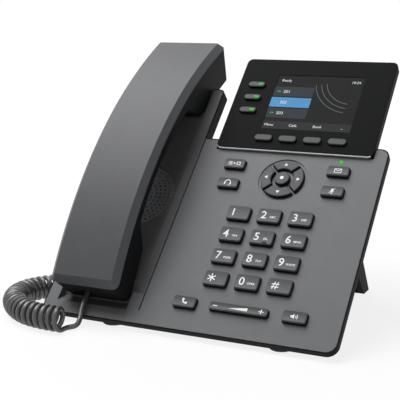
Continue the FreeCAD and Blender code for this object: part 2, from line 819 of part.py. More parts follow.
def make_rear_housing():
    """Black tub with the rim that frames the plate, the display spine and the socket openings."""
    rim = prism(base_outline(0), -RIM_DEPTH, -RIM_DROP)
    left = -BASE_W / 2
    head_rim = prism(
        [
            (left, BASE_H - 2 * TUB_BACK_INSET, 0),
            (CRADLE_EDGE, BASE_H - 2 * TUB_BACK_INSET, 0),
            (CRADLE_EDGE, CRADLE_H, HEAD_R),
            (left, CRADLE_H, HEAD_R),
        ],
        -HEAD_RIM_DEPTH,
        -RIM_DEPTH,
    )
    body = fused(
        rim,
        head_rim,
        tub(TUB_INSET, TUB_BACK_INSET, HOUSING_DEPTH, TUB_FRONT_V),
        head_tub(TUB_INSET, TUB_BACK_INSET, HEAD_DEPTH),
        display_spine(),
    )
    wall = HOUSING_WALL
    inner_edge = RIM_LIP + LEDGE
    open_top = prism(base_outline(inner_edge), -RIM_DEPTH, 0)
    head_hollow = prism(
        span(
            left + inner_edge,
            CRADLE_EDGE - inner_edge,
            BASE_H - 2 * TUB_BACK_INSET + wall,
            CRADLE_H - inner_edge,
            HEAD_R,
        ),
        -HEAD_RIM_DEPTH,
        0,
    )
    pocket = prism(base_outline(RIM_LIP), -PLATE_T, 0)
    hollow = tub(TUB_INSET + wall, TUB_BACK_INSET + wall, HOUSING_DEPTH - wall, TUB_FRONT_V + wall)
    head_inside = head_tub(TUB_INSET + wall, TUB_BACK_INSET + wall, HEAD_DEPTH - wall)
    seat = prism(display_notch(NOTCH_GAP), DISPLAY_BACK, DISPLAY_FRONT)
    hook_shaft = prism(hook_plan(HOOK_BRIM + HOOK_CLEARANCE), hook_foot() - HOOK_CLEARANCE, 0)
    cuts = [open_top, head_hollow, pocket, hollow, head_inside, seat, cradle_void(), cradle_pan(FIT)]
    cuts.append(hook_shaft)
    for _, side, v, width, height, depth in jack_blocks():
        mid_w = jack_mid(height)
        cuts.append(side_block(side, v, width, height, depth, mid_w, JACK_GAP, TUB_BACK_INSET))
    for i in range(VENT_SLOTS):
        v = VENT_V + i * VENT_PITCH
        slot = rect(VENT_U, v, VENT_LENGTH, VENT_WIDTH, VENT_WIDTH / 2 - FIT)
        cuts.append(prism(slot, -HOUSING_DEPTH - wall, HOUSING_FLOOR + wall))
    cuts += posts(SCREW_R + FIT, -HOUSING_DEPTH - wall, HOUSING_FLOOR + wall)
    sink = -HOUSING_DEPTH + SCREW_SINK + SCREW_HEAD_T
    cuts += posts(SCREW_HEAD_R + FIT, -HOUSING_DEPTH - wall, sink)
    return body.cut(cuts)


def make_screws():
    """Countersunk-flush screws up through the housing's back into the plate's posts."""
    head_w = -HOUSING_DEPTH + SCREW_SINK
    screws = []
    for u, v in SCREW_SPOTS:
        head = disc(u, v, head_w, head_w + SCREW_HEAD_T, SCREW_HEAD_R)
        shank = disc(u, v, head_w, HOUSING_FLOOR + SCREW_LENGTH, SCREW_R)
        screws.append(fused(head, shank))
    return Part.makeCompound(screws)


def make_speaker_grille():
    """Perforated disc on the cradle floor, its holes in rings about the middle and its edge stepped."""
    floor = -TROUGH_DEPTH
    flange = disc(HANDSET_U, SPEAKER_V, floor - GRILLE_T, floor - GRILLE_STEP_DEPTH, GRILLE_R)
    plate = disc(HANDSET_U, SPEAKER_V, floor - GRILLE_T, floor, GRILLE_R - GRILLE_STEP_W)
    rings = int((GRILLE_R - GRILLE_RIM) / GRILLE_PITCH)
    prisms = []
    for ring in range(rings + 1):
        r = GRILLE_R - GRILLE_RIM - (rings - ring) * GRILLE_PITCH
        count = max(1, round(2 * math.pi * r / GRILLE_PITCH))
        for k in range(count):
            angle = 2 * math.pi * k / count
            u = HANDSET_U + r * math.cos(angle)
            v = SPEAKER_V + r * math.sin(angle)
            prisms.append(prism(hexagon(u, v, GRILLE_HOLE_R), floor - 2 * GRILLE_T, 0))
    return fused(flange, plate).cut(prisms)


def hexagon(u, v, r):
    """Corners of a six-sided hole."""
    turns = [k * math.pi / 3 for k in range(6)]
    return [(u + r * math.cos(turn), v + r * math.sin(turn), 0) for turn in turns]


def make_loudspeaker():
    """Round driver: frame ring, cone basket and magnet."""
    top = -TROUGH_DEPTH - PAN_T
    frame = disc(HANDSET_U, SPEAKER_V, top - SPEAKER_FRAME_T, top, SPEAKER_R)
    dish = Part.makeCone(
        SPEAKER_R - SPEAKER_FRAME_T,
        SPEAKER_MAGNET_R / 2,
        SPEAKER_FRAME_T - FIT,
        V(HANDSET_U, SPEAKER_V, top),
        V(0, 0, -1),
    )
    basket = Part.makeCone(
        SPEAKER_R - SPEAKER_FRAME_T,
        SPEAKER_MAGNET_R,
        SPEAKER_FRAME_T,
        V(HANDSET_U, SPEAKER_V, top - SPEAKER_FRAME_T),
        V(0, 0, -1),
    )
    magnet = disc(HANDSET_U, SPEAKER_V, top - SPEAKER_DEPTH, top - SPEAKER_FRAME_T, SPEAKER_MAGNET_R)
    return fused(frame, basket, magnet).cut(dish)


def make_display_housing():
    """Black tray of the display head."""
    outer = rect(DISPLAY_U, DISPLAY_V + DISPLAY_H / 2, DISPLAY_W, DISPLAY_H, DISPLAY_R)
    tray = prism(outer, DISPLAY_BACK, DISPLAY_FRONT)
    rims = [face for face in tray.Faces if abs(face.CenterOfMass.z - DISPLAY_FRONT) < FIT]
    tray = tray.makeChamfer(DISPLAY_EDGE / 2, rims[0].Edges)
    lip = DISPLAY_EDGE
    seat = rect(
        DISPLAY_U, DISPLAY_V + DISPLAY_H / 2, DISPLAY_W - 2 * lip, DISPLAY_H - 2 * lip, DISPLAY_R - lip
    )
    wall = DISPLAY_WALL
    hollow = rect(
        DISPLAY_U, DISPLAY_V + DISPLAY_H / 2, DISPLAY_W - 2 * wall, DISPLAY_H - 2 * wall, DISPLAY_R - wall
    )
    return tray.cut([prism(seat, COVER_BACK, DISPLAY_FRONT), prism(hollow, DISPLAY_POCKET, DISPLAY_FRONT)])


def make_display_cover():
    """Black front panel with the screen window and the holes of the line and soft keys."""
    lip = DISPLAY_EDGE + FIT
    outline = rect(
        DISPLAY_U, DISPLAY_V + DISPLAY_H / 2, DISPLAY_W - 2 * lip, DISPLAY_H - 2 * lip, DISPLAY_R - lip
    )
    panel = prism(outline, COVER_BACK, DISPLAY_FRONT)
    window = prism(rect(LCD_U, LCD_V, LCD_W, LCD_H), DISPLAY_BACK, DISPLAY_FRONT + COVER_T)
    return panel.cut([window] + [key.aperture() for key in HEAD_KEYS])


def make_lcd_module():
    """Glass panel with its frame, the lit face raised into the window."""
    frame_w = LCD_W + 2 * LCD_BORDER
    frame_h = LCD_H + 2 * LCD_BORDER
    frame_top = COVER_BACK - FIT
    frame_base = DISPLAY_POCKET + DISPLAY_BOARD_T
    frame = prism(rect(LCD_U, LCD_V, frame_w, frame_h), frame_base, frame_top)
    glass = prism(
        rect(LCD_U, LCD_V, LCD_W - 2 * FIT, LCD_H - 2 * FIT), frame_top - FIT, DISPLAY_FRONT - LCD_SINK
    )
    return fused(frame, glass)


def make_display_board():
    """Thin board under the screen and the head's keys."""
    wall = DISPLAY_WALL + 2 * FIT
    outline = rect(DISPLAY_U, DISPLAY_V + DISPLAY_H / 2, DISPLAY_W - 2 * wall, DISPLAY_H - 2 * wall)
    return prism(outline, DISPLAY_POCKET + FIT / 2, DISPLAY_POCKET + DISPLAY_BOARD_T)


def make_key_mat():
    """Rubber sheet with a dome under each key of the plate."""
    us = [key.mid[0] for key in PLATE_KEYS]
    vs = [key.mid[1] for key in PLATE_KEYS]
    margin = MAT_MARGIN + DOME_R
    sheet = prism(
        span(min(us) - margin, max(us) + margin, min(vs) - margin, max(vs) + margin, DOME_R),
        MAT_TOP - MAT_T,
        MAT_TOP,
    )
    domes = []
    for key in PLATE_KEYS:
        cone = Part.makeCone(DOME_R, DOME_R / 2, DOME_H + FIT, V(*key.mid, MAT_TOP - FIT))
        domes.append(cone)
    return fused(sheet, *domes).cut(posts(POST_R + KEY_GAP, BOARD_BOTTOM, 0))


def make_main_board():
    """Main circuit board with an arm that reaches the handset sockets."""
    top = BOARD_TOP - BOARD_GAP
    main = prism(span(BOARD_LEFT, BOARD_RIGHT, BOARD_FRONT, BOARD_BACK), BOARD_BOTTOM, top)
    arm_plan = span(BOARD_ARM_LEFT, BOARD_LEFT + BOARD_JOIN, BOARD_ARM_FRONT, BOARD_ARM_BACK)
    arm = prism(arm_plan, BOARD_BOTTOM, top)
    return fused(main, arm).cut(posts(POST_R + KEY_GAP, BOARD_BOTTOM - 1, 0))


def socket(side, v, width, height, depth, mouth_w, mouth_h, hole):
    """Socket block with a square mouth and a latch slot."""
    mid_w = jack_mid(height)
    block = side_block(side, v, width, height, depth, mid_w)
    mouth = side_block(side, v, mouth_w, mouth_h, hole, mid_w)
    latch_h = (height - mouth_h) / 2 - FIT
    latch = side_block(side, v, mouth_w / 2, latch_h, hole, mid_w - mouth_h / 2)
    return block.cut([mouth, latch])


def make_jacks():
    """Handset and headset sockets, network sockets and the power socket."""
    handset = []
    network = []
    for name, side, v, width, height, depth in jack_blocks():
        if name in ("handset", "headset"):
            handset.append(socket(side, v, width, height, depth, RJ9_MOUTH_W, RJ9_MOUTH_H, RJ9_HOLE))
        elif name in ("lan", "pc"):
            network.append(socket(side, v, width, height, depth, RJ45_MOUTH_W, RJ45_MOUTH_H, RJ45_HOLE))
    mid_w = jack_mid(POWER_JACK_H)
    block = side_block(1, POWER_JACK_V, POWER_JACK_W, POWER_JACK_H, POWER_JACK_DEPTH, mid_w)
    foot = V(JACK_FACE - POWER_HOLE, POWER_JACK_V, mid_w)
    bore = Part.makeCylinder(POWER_MOUTH_R, POWER_HOLE, foot, V(1, 0, 0))
    root = foot - V(POWER_PIN_ROOT, 0, 0)
    pin = Part.makeCylinder(POWER_PIN_R, POWER_HOLE - POWER_PIN_ROOT, root, V(1, 0, 0))
    power = fused(block.cut(bore), pin)
    return Part.makeCompound(handset), Part.makeCompound(network), power


def make_message_lamp():
    """Light pipe from the board up to the plate's face."""
    pipe = disc(LAMP_U, LAMP_V, -PLATE_T - FLANGE_T, RIM_DROP, LAMP_R)
    collar = disc(LAMP_U, LAMP_V, -PLATE_T - FLANGE_T, -PLATE_T, 2 * LAMP_R)
    return fused(pipe, collar)


def make_hook_plunger():
    """Plunger that the handset's ear end holds down, with a stop flange under the seat."""
    half_u = HOOK_W / 2
    half_v = HOOK_L / 2
    low_v = HOOK_V - half_v
    high_v = HOOK_V + half_v
    foot_w = hook_foot()
    profile = [
        (low_v, foot_w, 0),
        (high_v, foot_w, 0),
        (high_v, ear_face(high_v) - HOOK_GAP, 0),
        (low_v, ear_face(low_v) - HOOK_GAP, 0),
    ]
    stem = side_prism(profile, HANDSET_U - half_u, HANDSET_U + half_u)
    flange = prism(hook_plan(HOOK_BRIM), foot_w, foot_w + HOOK_FLANGE)
    return fused(stem, flange)


def make_stand():
    """Clip-on stand: flange on the housing's back, raked skin, side webs and a foot bar."""
    half = STAND_W / 2
    low = table_point(0, STAND_LOW_V, -HOUSING_DEPTH)
    top = table_point(0, STAND_TOP_V, -HOUSING_DEPTH)
    outline = [
        (low.y, low.z, 0),
        (STAND_FOOT_FRONT, REAR_FOOT_T, 0),
        (STAND_FOOT_BACK, REAR_FOOT_T, 0),
        (top.y, top.z, 0),
    ]
    wedge = side_prism(outline, -half, half)
    rake = V(0, STAND_FOOT_BACK - top.y, REAR_FOOT_T - top.z).normalize()
    inward = V(0, rake.z, -rake.y)
    shift = inward * STAND_SKIN
    spread = half - STAND_WEB
    room = [
        (low.y - shift.y, low.z - shift.z, 0),
        (STAND_FOOT_FRONT + shift.y, -REAR_FOOT_T, 0),
        (STAND_FOOT_BACK + shift.y, -REAR_FOOT_T, 0),
        (top.y + shift.y, top.z + shift.z, 0),
    ]
    hollow = side_prism(room, -spread, spread)
    foot_bar = side_prism(
        [
            (STAND_FOOT_FRONT, REAR_FOOT_T, 0),
            (STAND_FOOT_BACK, REAR_FOOT_T, 0),
            (STAND_FOOT_BACK + rake.y * -STAND_FLANGE_T, REAR_FOOT_T - rake.z * STAND_FLANGE_T, 0),
            (STAND_FOOT_FRONT, REAR_FOOT_T - rake.z * STAND_FLANGE_T, 0),
        ],
        -half,
        half,
    )
    flange = tilted(
        prism(
            span(-half, half, STAND_LOW_V, STAND_TOP_V),
            -HOUSING_DEPTH - STAND_FLANGE_T,
            -HOUSING_DEPTH,
        )
    )
    shell = fused(wedge.cut(hollow), foot_bar, flange.common(wedge))
    mid_y = (top.y + STAND_FOOT_BACK) / 2
    mid_z = (top.z + REAR_FOOT_T) / 2
    window = prism(
        rect(0, 0, STAND_WINDOW_W, STAND_WINDOW_H, STAND_WINDOW_R), -3 * STAND_SKIN, 3 * STAND_SKIN
    )
    lean = math.degrees(math.atan2(rake.z, rake.y))
    window.Placement = Placement(V(0, mid_y, mid_z), Rotation(V(1, 0, 0), lean))
    return shell.cut(window)


def make_feet():
    """Rubber pads: two round ones under the front edge, two bars under the stand."""
    rim = prism(base_outline(0), -RIM_DEPTH, BASE_W)
    body = tilted(fused(rim, tub(TUB_INSET, TUB_BACK_INSET, HOUSING_DEPTH, TUB_FRONT_V)))
    pads = []
    for x in FRONT_FEET_X:
        pad = Part.makeCylinder(FRONT_FOOT_R, 2 * FRONT_FOOT_R, V(x, FRONT_FOOT_Y, 0))
        lowest = min(pad.Faces, key=lambda face: face.CenterOfMass.z)
        pads.append(pad.makeChamfer(FRONT_FOOT_EDGE, lowest.Edges).cut(body).Solids[0])
    length = STAND_FOOT_BACK - STAND_FOOT_FRONT - 2 * REAR_FOOT_MARGIN
    middle = (STAND_FOOT_BACK + STAND_FOOT_FRONT) / 2
    for side in (-1, 1):
        outline = rect(side * REAR_FOOT_X, middle, REAR_FOOT_W, length, REAR_FOOT_R)
        pads.append(prism(outline, 0, REAR_FOOT_T))
    return Part.makeCompound(pads)


def handset_plan(w, inset=0.0):
    """Handset outline square to the plate at height w: raked ends, bowed sides and round corners."""
    draft = HS_DRAFT * (w - HS_WIDTH_AT) - inset
    low = MOUTH_END_V + LOW_RAKE * (w - MOUTH_END_W) + inset
    high = EAR_END_V + TOP_RAKE * (w - EAR_END_W) - inset
    bottom = HS_HALF_BOTTOM + draft
    middle = HS_HALF_MID + draft
    top = HS_HALF_TOP + draft
    r = HS_CORNER_R
    mid_v = (low + high) / 2
    right = Part.Arc(
        V(HANDSET_U + bottom, low + r, w), V(HANDSET_U + middle, mid_v, w), V(HANDSET_U + top, high - r, w)
    )
    left = Part.Arc(
        V(HANDSET_U - top, high - r, w), V(HANDSET_U - middle, mid_v, w), V(HANDSET_U - bottom, low + r, w)
    )
    cut = r * (1 - math.sqrt(0.5))

    def corner(side, half, v_end, toward, rising):
        along = V(HANDSET_U + side * half, v_end + toward * r, w)
        across = V(HANDSET_U + side * (half - r), v_end, w)
        middle_point = V(HANDSET_U + side * (half - cut), v_end + toward * cut, w)
        ends = (across, along) if rising else (along, across)
        return Part.Arc(ends[0], middle_point, ends[1]).toShape()

    edges = [
        Part.makeLine(V(HANDSET_U - bottom + r, low, w), V(HANDSET_U + bottom - r, low, w)),
        corner(1, bottom, low, 1, True),
        right.toShape(),
        corner(1, top, high, -1, False),
        Part.makeLine(V(HANDSET_U + top - r, high, w), V(HANDSET_U - top + r, high, w)),
        corner(-1, top, high, -1, True),
        left.toShape(),
        corner(-1, bottom, low, 1, False),
    ]
    return Part.Wire(edges)


def handset_block(inset=0.0):
    """Drafted block of the handset's plan."""
    low = EAR_END_W * 2
    high = ARC_TOP * 2
    return Part.makeLoft([handset_plan(low, inset), handset_plan(high, inset)], True, True)


def under_arc(depth):
    """Everything inside the handset's outer arc, less a depth."""
    width = 4 * HS_HALF_TOP
    centre = V(HANDSET_U - width / 2, ARC_V, ARC_TOP - ARC_R)
    return Part.makeCylinder(ARC_R - depth, width, centre, V(1, 0, 0))


def handset_side():
    """Handset seen from its side: handle underside between the angled ear and mouth faces."""
    high = ARC_TOP * 2
    past_low = MOUTH_END_V - HS_HALF_TOP
    past_high = EAR_END_V + 2 * HS_HALF_TOP
    corners = [
        (past_high, high, 0),
        (past_low, high, 0),
        (past_low, mouth_face(past_low), 0),
        (MOUTH_NECK_V, MOUTH_NECK_W, LIP_R),
        (MOUTH_ROOT_V, GRIP_ROOT_W, THROAT_R),
        ((MOUTH_ROOT_V + EAR_ROOT_V) / 2, GRIP_MID_W, GRIP_R),
        (EAR_ROOT_V, GRIP_ROOT_W, THROAT_R),
        (EAR_NECK_V, EAR_NECK_W, LIP_R),
        (past_high, ear_face(past_high), 0),
    ]
    half = 2 * HS_HALF_TOP
    return side_prism(corners, HANDSET_U - half, HANDSET_U + half)


def make_handset_body():
    """Solid outer form of the handset, with its chamfered face and eased underside."""
    body = handset_side().common(handset_block()).common(under_arc(0))
    face_edges = []
    cross_edges = []
    for edge in body.Edges:
        middle = edge.valueAt((edge.FirstParameter + edge.LastParameter) / 2)
        drop = ARC_R - math.hypot(middle.y - ARC_V, middle.z - ARC_TOP + ARC_R)
        if abs(drop) < FIT:
            face_edges.append(edge)
        elif abs(middle.x - HANDSET_U) < FIT:
            cross_edges.append((middle.y, edge))
    cross_edges.sort(key=lambda pair: pair[0])
    tips = [cross_edges[0][1], cross_edges[-1][1]]
    return body.makeChamfer(HS_CHAMFER, face_edges).makeFillet(GRIP_EDGE, tips)


def make_handset():
    """Grey outer cover and dark inner shell, hollow inside, with pockets for the capsules."""
    body = make_handset_body()
    below_seam = under_arc(HS_SEAM)
    room = handset_block(HS_CHAMFER + HS_SKIN).common(under_arc(HS_SKIN))
    cover = body.cut([below_seam, room])
    shell = body.common(under_arc(HS_SEAM + FIT))
    cavity = handset_block(HS_WALL).cut(under_arc(HS_SEAM + HANDLE_CAVITY))
    ear_pocket = disc(HANDSET_U, CAPSULE_V, CAPSULE_BASE_W - FIT, ARC_TOP, CAPSULE_R + POCKET_GAP)
    mic_pocket = disc(HANDSET_U, MIC_V, MIC_BASE_W - FIT, ARC_TOP, MIC_R + POCKET_GAP)
    shell = shell.cut([cavity, ear_pocket, mic_pocket, plug_block(POCKET_GAP, PLUG_L)])
    return cover, shell


def plug_block(grow, out=0.0):
    """Square body of the plug in the handset's lower end, and a way out past it."""
    v0 = CORD_EXIT_V - out
    v1 = CORD_EXIT_V + PLUG_L + grow
    half_w = PLUG_W / 2 + grow
    half_h = PLUG_H / 2 + grow
    outline = span(CORD_EXIT_U - half_w, CORD_EXIT_U + half_w, v0, v1)
    return prism(outline, CORD_EXIT_W - half_h, CORD_EXIT_W + half_h)


def make_handset_inside():
    """Receiver, microphone and balance weight."""
    capsule = disc(HANDSET_U, CAPSULE_V, CAPSULE_BASE_W, CAPSULE_BASE_W + CAPSULE_T, CAPSULE_R)
    mic = disc(HANDSET_U, MIC_V, MIC_BASE_W, MIC_BASE_W + MIC_T, MIC_R)
    floor = ARC_TOP - HS_SEAM - HANDLE_CAVITY + FIT
    weight = prism(rect(HANDSET_U, ARC_V, WEIGHT_W, WEIGHT_L, WEIGHT_R), floor, floor + WEIGHT_T)
    return capsule, mic, weight


def rounded_path(points):
    """Straight runs joined by the largest tangent arcs, as a wire, its radii and its length."""
    edges = []
    radii = []
    last = points[0]
    for before, here, after in zip(points, points[1:], points[2:]):
        back = before - here
        ahead = after - here
        shorter = min(back.Length, ahead.Length)
        reach = BEND_SHARE * shorter
        back.normalize()
        ahead.normalize()
        half = back.getAngle(ahead) / 2
        r = reach * math.tan(half)
        middle = here + (back + ahead).normalize() * (r / math.sin(half) - r)
        start = here + back * reach
        end = here + ahead * reach
        edges.append(Part.makeLine(last, start))
        edges.append(Part.Arc(start, middle, end).toShape())
        radii.append(r)
        last = end
    edges.append(Part.makeLine(last, points[-1]))
    return Part.Wire(edges), radii


def tube(wire, diameter):
    """Round tube along a wire."""
    start = wire.Edges[0].valueAt(wire.Edges[0].FirstParameter)
    heading = wire.Edges[0].tangentAt(wire.Edges[0].FirstParameter)
    section = Part.Wire([Part.makeCircle(diameter / 2, start, heading)])
    return wire.makePipeShell([section], True, False)


def coil_axis():
    """Middle line of the curls, as a wire on the table, with its corner radii."""
    height = COIL_R + CORD_D / 2 + CORD_FLOOR
    return rounded_path([V(ROUTE_LEFT + x, y, height) for x, y in COIL_ROUTE])


def coil_points():
    """Points and headings at every half turn of the curls, and fine points along them."""
    wire, radii = coil_axis()
    length = wire.Length
    turns = round(length / COIL_PITCH)
    fine_steps = COIL_STEPS
    fine = wire.discretize(Number=turns * fine_steps + 1)
    points = []
    for i, centre in enumerate(fine):
        ahead = fine[min(i + 1, len(fine) - 1)] - fine[max(i - 1, 0)]
        ahead.normalize()
        left = V(-ahead.y, ahead.x, 0)
        angle = 2 * math.pi * i / fine_steps
        offset = left * (COIL_R * math.sin(angle)) - V(0, 0, COIL_R * math.cos(angle))
        swing = left * (COIL_R * math.cos(angle)) + V(0, 0, COIL_R * math.sin(angle))
        heading = swing + ahead * (length / turns / (2 * math.pi))
        heading.normalize()
        points.append((centre + offset, heading))
    return points, fine_steps // 2, turns, radii


def biarc(start, start_heading, end, end_heading):
    """Two arcs that join two points with given headings and meet smoothly."""
    chord = end - start
    total = start_heading + end_heading
    square = total.dot(total) - 4
    slope = chord.dot(total)
    reach = (-slope + math.sqrt(slope**2 - square * chord.dot(chord))) / square
    reach = abs(reach)
    handle_start = start + start_heading * reach
    handle_end = end - end_heading * reach
    joint = (handle_start + handle_end) * 0.5
    return [tangent_arc(start, start_heading, joint), tangent_arc(end, end_heading * -1, joint).reversed()]


def tangent_arc(start, heading, end):
    """Arc from a point along a heading to another point."""
    chord = end - start
    side = chord - heading * chord.dot(heading)
    rise = side.Length
    side.normalize()
    r = chord.dot(chord) / (2 * rise)
    centre = start + side * r
    bend = (start + end) * 0.5 - centre
    bend.normalize()
    return Part.Arc(start, centre + bend * r, end).toShape()


def make_coil():
    """Curly stretch of the cord: one unbroken tube on half-turn biarcs, with straight ends."""
    points, half_turn, turns, radii = coil_points()
    knots = points[::half_turn]
    first, first_heading = knots[0]
    last, last_heading = knots[-1]
    start = first - first_heading * CORD_D
    end = last + last_heading * CORD_D
    edges = [Part.makeLine(start, first)]
    for (p, heading), (q, next_heading) in zip(knots, knots[1:]):
        edges += biarc(p, heading, q, next_heading)
    edges.append(Part.makeLine(last, end))
    wire = Part.Wire(edges)
    gap = least_gap([p for p, _ in points], half_turn * 2)
    print("curls", turns, "axis radii", [round(r, 1) for r in radii])
    print("curly stretch", round(wire.Length, 1), "least gap between turns", round(gap, 2))
    solid = tube(wire, CORD_D)
    share = solid.Volume / (wire.Length * math.pi * CORD_D**2 / 4)
    print("curly tube volume over section times length", round(share, 4))
    return solid, (start, first_heading), (end, last_heading), wire.Length


def least_gap(points, turn_steps):
    """Least free space between two stretches of the coil that are over half a turn apart."""
    nearest = min(
        (p - q).Length
        for i, p in enumerate(points)
        for q in points[i + turn_steps // 2 : i + 2 * turn_steps]
    )
    return nearest - CORD_D


def make_cord():
    """Lead from the handset, curls, tail to the socket, and the two plugs."""
    coil, (coil_start, start_heading), (coil_end, end_heading), coil_length = make_coil()
    exit_point = table_point(CORD_EXIT_U, CORD_EXIT_V - FIT / 2, CORD_EXIT_W)
    clear_point = table_point(CORD_EXIT_U, CORD_EXIT_V - LEAD_STRAIGHT, CORD_EXIT_W)
    lead_end = coil_start - start_heading * (2 * CORD_D)
    lead_middle = [V(ROUTE_LEFT + x, y, z) for x, y, z in LEAD_ROUTE]
    lead_points = [exit_point, clear_point] + lead_middle + [lead_end, coil_start]
    jack_w = jack_mid(RJ9_H)
    plug_back = -JACK_FACE - BASE_PLUG_OUT
    base_exit = table_point(plug_back, HANDSET_JACK_V, jack_w)
    tail_start = coil_end + end_heading * (2 * CORD_D)
    straight = base_exit - V(3 * CORD_D, 0, 0)
    tail_middle = [V(ROUTE_LEFT + x, y, z) for x, y, z in TAIL_ROUTE]
    tail_points = [coil_end, tail_start] + tail_middle + [straight, base_exit]
    lead_wire, lead_radii = rounded_path(lead_points)
    tail_wire, tail_radii = rounded_path(tail_points)
    print("lead", round(lead_wire.Length, 1), "radii", [round(r, 1) for r in lead_radii])
    print("tail", round(tail_wire.Length, 1), "radii", [round(r, 1) for r in tail_radii])
    print("cord length", round(lead_wire.Length + tail_wire.Length + coil_length, 1))
    NODES["cord_coil"] = coil
    for name, wire in (("cord_lead", lead_wire), ("cord_tail", tail_wire)):
        NODES[name] = tube(wire, CORD_D)
        share = NODES[name].Volume / (wire.Length * math.pi * CORD_D**2 / 4)
        print(name, "volume over section times length", round(share, 4))
    NODES["handset_plug"] = tilted(plug_block(0))
    half_w = PLUG_W / 2
    half_h = PLUG_H / 2
    body = prism(
        span(plug_back, plug_back + PLUG_L, HANDSET_JACK_V - half_w, HANDSET_JACK_V + half_w),
        jack_w - half_h,
        jack_w + half_h,
    )
    tab = prism(
        span(
            plug_back + PLUG_TAB_MARGIN,
            plug_back + PLUG_L - PLUG_TAB_MARGIN,
            HANDSET_JACK_V - PLUG_TAB_W / 2,
            HANDSET_JACK_V + PLUG_TAB_W / 2,
        ),
        jack_w - half_h - PLUG_TAB_T,
        jack_w,
    )
    NODES["base_plug"] = tilted(fused(body, tab))


def make_phone():
    """Every piece of the phone, under its node's name."""
    plate_nodes = {
        "face_plate": make_face_plate(),
        "speaker_grille": make_speaker_grille(),
        "loudspeaker": make_loudspeaker(),
        "display_housing": make_display_housing(),
        "display_cover": make_display_cover(),
        "lcd_module": make_lcd_module(),
        "display_board": make_display_board(),
        "main_board": make_main_board(),
        "key_mat": make_key_mat(),
        "housing_screws": make_screws(),
        "message_lamp": make_message_lamp(),
        "hook_plunger": make_hook_plunger(),
        "rear_housing": make_rear_housing(),
    }
    jacks = make_jacks()
    plate_nodes["handset_jacks"], plate_nodes["network_jacks"], plate_nodes["power_jack"] = jacks
    plate_nodes["handset_cover"], plate_nodes["handset_shell"] = make_handset()
    inside = make_handset_inside()
    plate_nodes["receiver_capsule"], plate_nodes["microphone"], plate_nodes["handset_weight"] = inside
    for key in KEYS:
        plate_nodes[key.name] = key.solid()
    for name, shape in plate_nodes.items():
        NODES[name] = tilted(shape)
    NODES["stand"] = make_stand()
    NODES["rubber_feet"] = make_feet()
    make_cord()


def bottom_centre():
    """Middle of the phone's box on the table, without the cord."""
    box = FreeCAD.BoundBox()
    for name, shape in NODES.items():
        if name not in CORD_NODES:
            box.add(shape.optimalBoundingBox(False, False))
    return V((box.XMin + box.XMax) / 2, (box.YMin + box.YMax) / 2, box.ZMin)


def main():
    """Builds the phone, sets its origin and writes one file for each node."""
    make_phone()
    origin = bottom_centre()
    print("origin in table coordinates", [round(x, 4) for x in origin])
    os.makedirs("parts", exist_ok=True)
    for name, shape in NODES.items():
        shape.translate(origin * -1)
        shape.exportStep(f"parts/{name}.step")
    print(len(NODES), "nodes")


main()
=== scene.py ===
"""Desk IP phone, dressed: printed legends, lit screen, lamps, curly cord, finishes and a plain studio."""
import json
import math

import bmesh
import bpy
import numpy as np
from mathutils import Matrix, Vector


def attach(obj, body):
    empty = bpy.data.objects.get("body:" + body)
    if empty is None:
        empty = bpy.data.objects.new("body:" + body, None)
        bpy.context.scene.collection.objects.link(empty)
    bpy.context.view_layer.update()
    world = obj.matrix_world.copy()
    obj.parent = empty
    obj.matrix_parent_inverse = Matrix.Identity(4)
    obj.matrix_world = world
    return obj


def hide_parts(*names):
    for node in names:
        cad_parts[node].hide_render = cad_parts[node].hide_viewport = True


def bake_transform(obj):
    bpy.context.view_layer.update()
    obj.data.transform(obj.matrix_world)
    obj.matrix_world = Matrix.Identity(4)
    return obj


bl_info = {
    "name": "Desk Phone Dresser",
    "version": (1, 0, 0),
    "blender": (4, 5, 0),
    "location": "View3D > Sidebar > Phone",
    "description": "Dresses a packed desk phone with legends, screen, cord, finishes and a studio",
    "category": "Object",
}

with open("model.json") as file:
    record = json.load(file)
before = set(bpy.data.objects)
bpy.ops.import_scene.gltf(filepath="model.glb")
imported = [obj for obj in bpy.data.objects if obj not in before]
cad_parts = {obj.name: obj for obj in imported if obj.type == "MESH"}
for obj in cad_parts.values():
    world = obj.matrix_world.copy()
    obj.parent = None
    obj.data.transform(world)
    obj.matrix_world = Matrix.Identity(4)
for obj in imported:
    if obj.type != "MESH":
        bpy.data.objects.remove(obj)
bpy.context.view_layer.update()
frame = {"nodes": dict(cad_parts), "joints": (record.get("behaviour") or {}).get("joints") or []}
MM = 0.001

# The keys slide straight into the plate, so their axis gives the plate's tilt
PRESS = next(joint for joint in frame["joints"] if joint["name"] == "1_press")
OUTWARD = -np.array(PRESS["axis"], float)
SLOPE = np.array([0.0, OUTWARD[2], -OUTWARD[1]])
RIGHT = np.array([1.0, 0.0, 0.0])


def node_points(name):
    """A CAD node's points, in frame metres."""
    vertices = frame["nodes"][name].data.vertices
    points = np.empty(len(vertices) * 3)
    vertices.foreach_get("co", points)
    return points.reshape(-1, 3)


# The rim's front edge lies just under the plate's, so it gives the plate's zero, in mm
RIM_DROP = 0.2
EDGE_HEIGHT = 4.8
RIM_FRONT = float(node_points("rear_housing")[:, 1].min()) / MM
FRONT_EDGE = np.array([0.0, RIM_FRONT + RIM_DROP * OUTWARD[1], EDGE_HEIGHT])

# Keys by the shape of their tops: pills at the screen, a ring of sectors, and rectangles
PILL_KEYS = ("key_line", "key_soft")
RING_KEYS = ("key_up", "key_down", "key_left", "key_right", "key_ok")
KEYS = [name for name in frame["nodes"] if name.startswith("key_") and name != "key_mat"]
FLAT_KEYS = [name for name in KEYS if name not in RING_KEYS and not name.startswith(PILL_KEYS)]


# Settings


def linear(hex_colour):
    """sRGB hex to linear RGB: the usual power curve with its straight toe."""
    parts = [int(hex_colour[i : i + 2], 16) / 255 for i in (1, 3, 5)]
    return tuple(c / 12.92 if c <= 0.04045 else ((c + 0.055) / 1.055) ** 2.4 for c in parts)


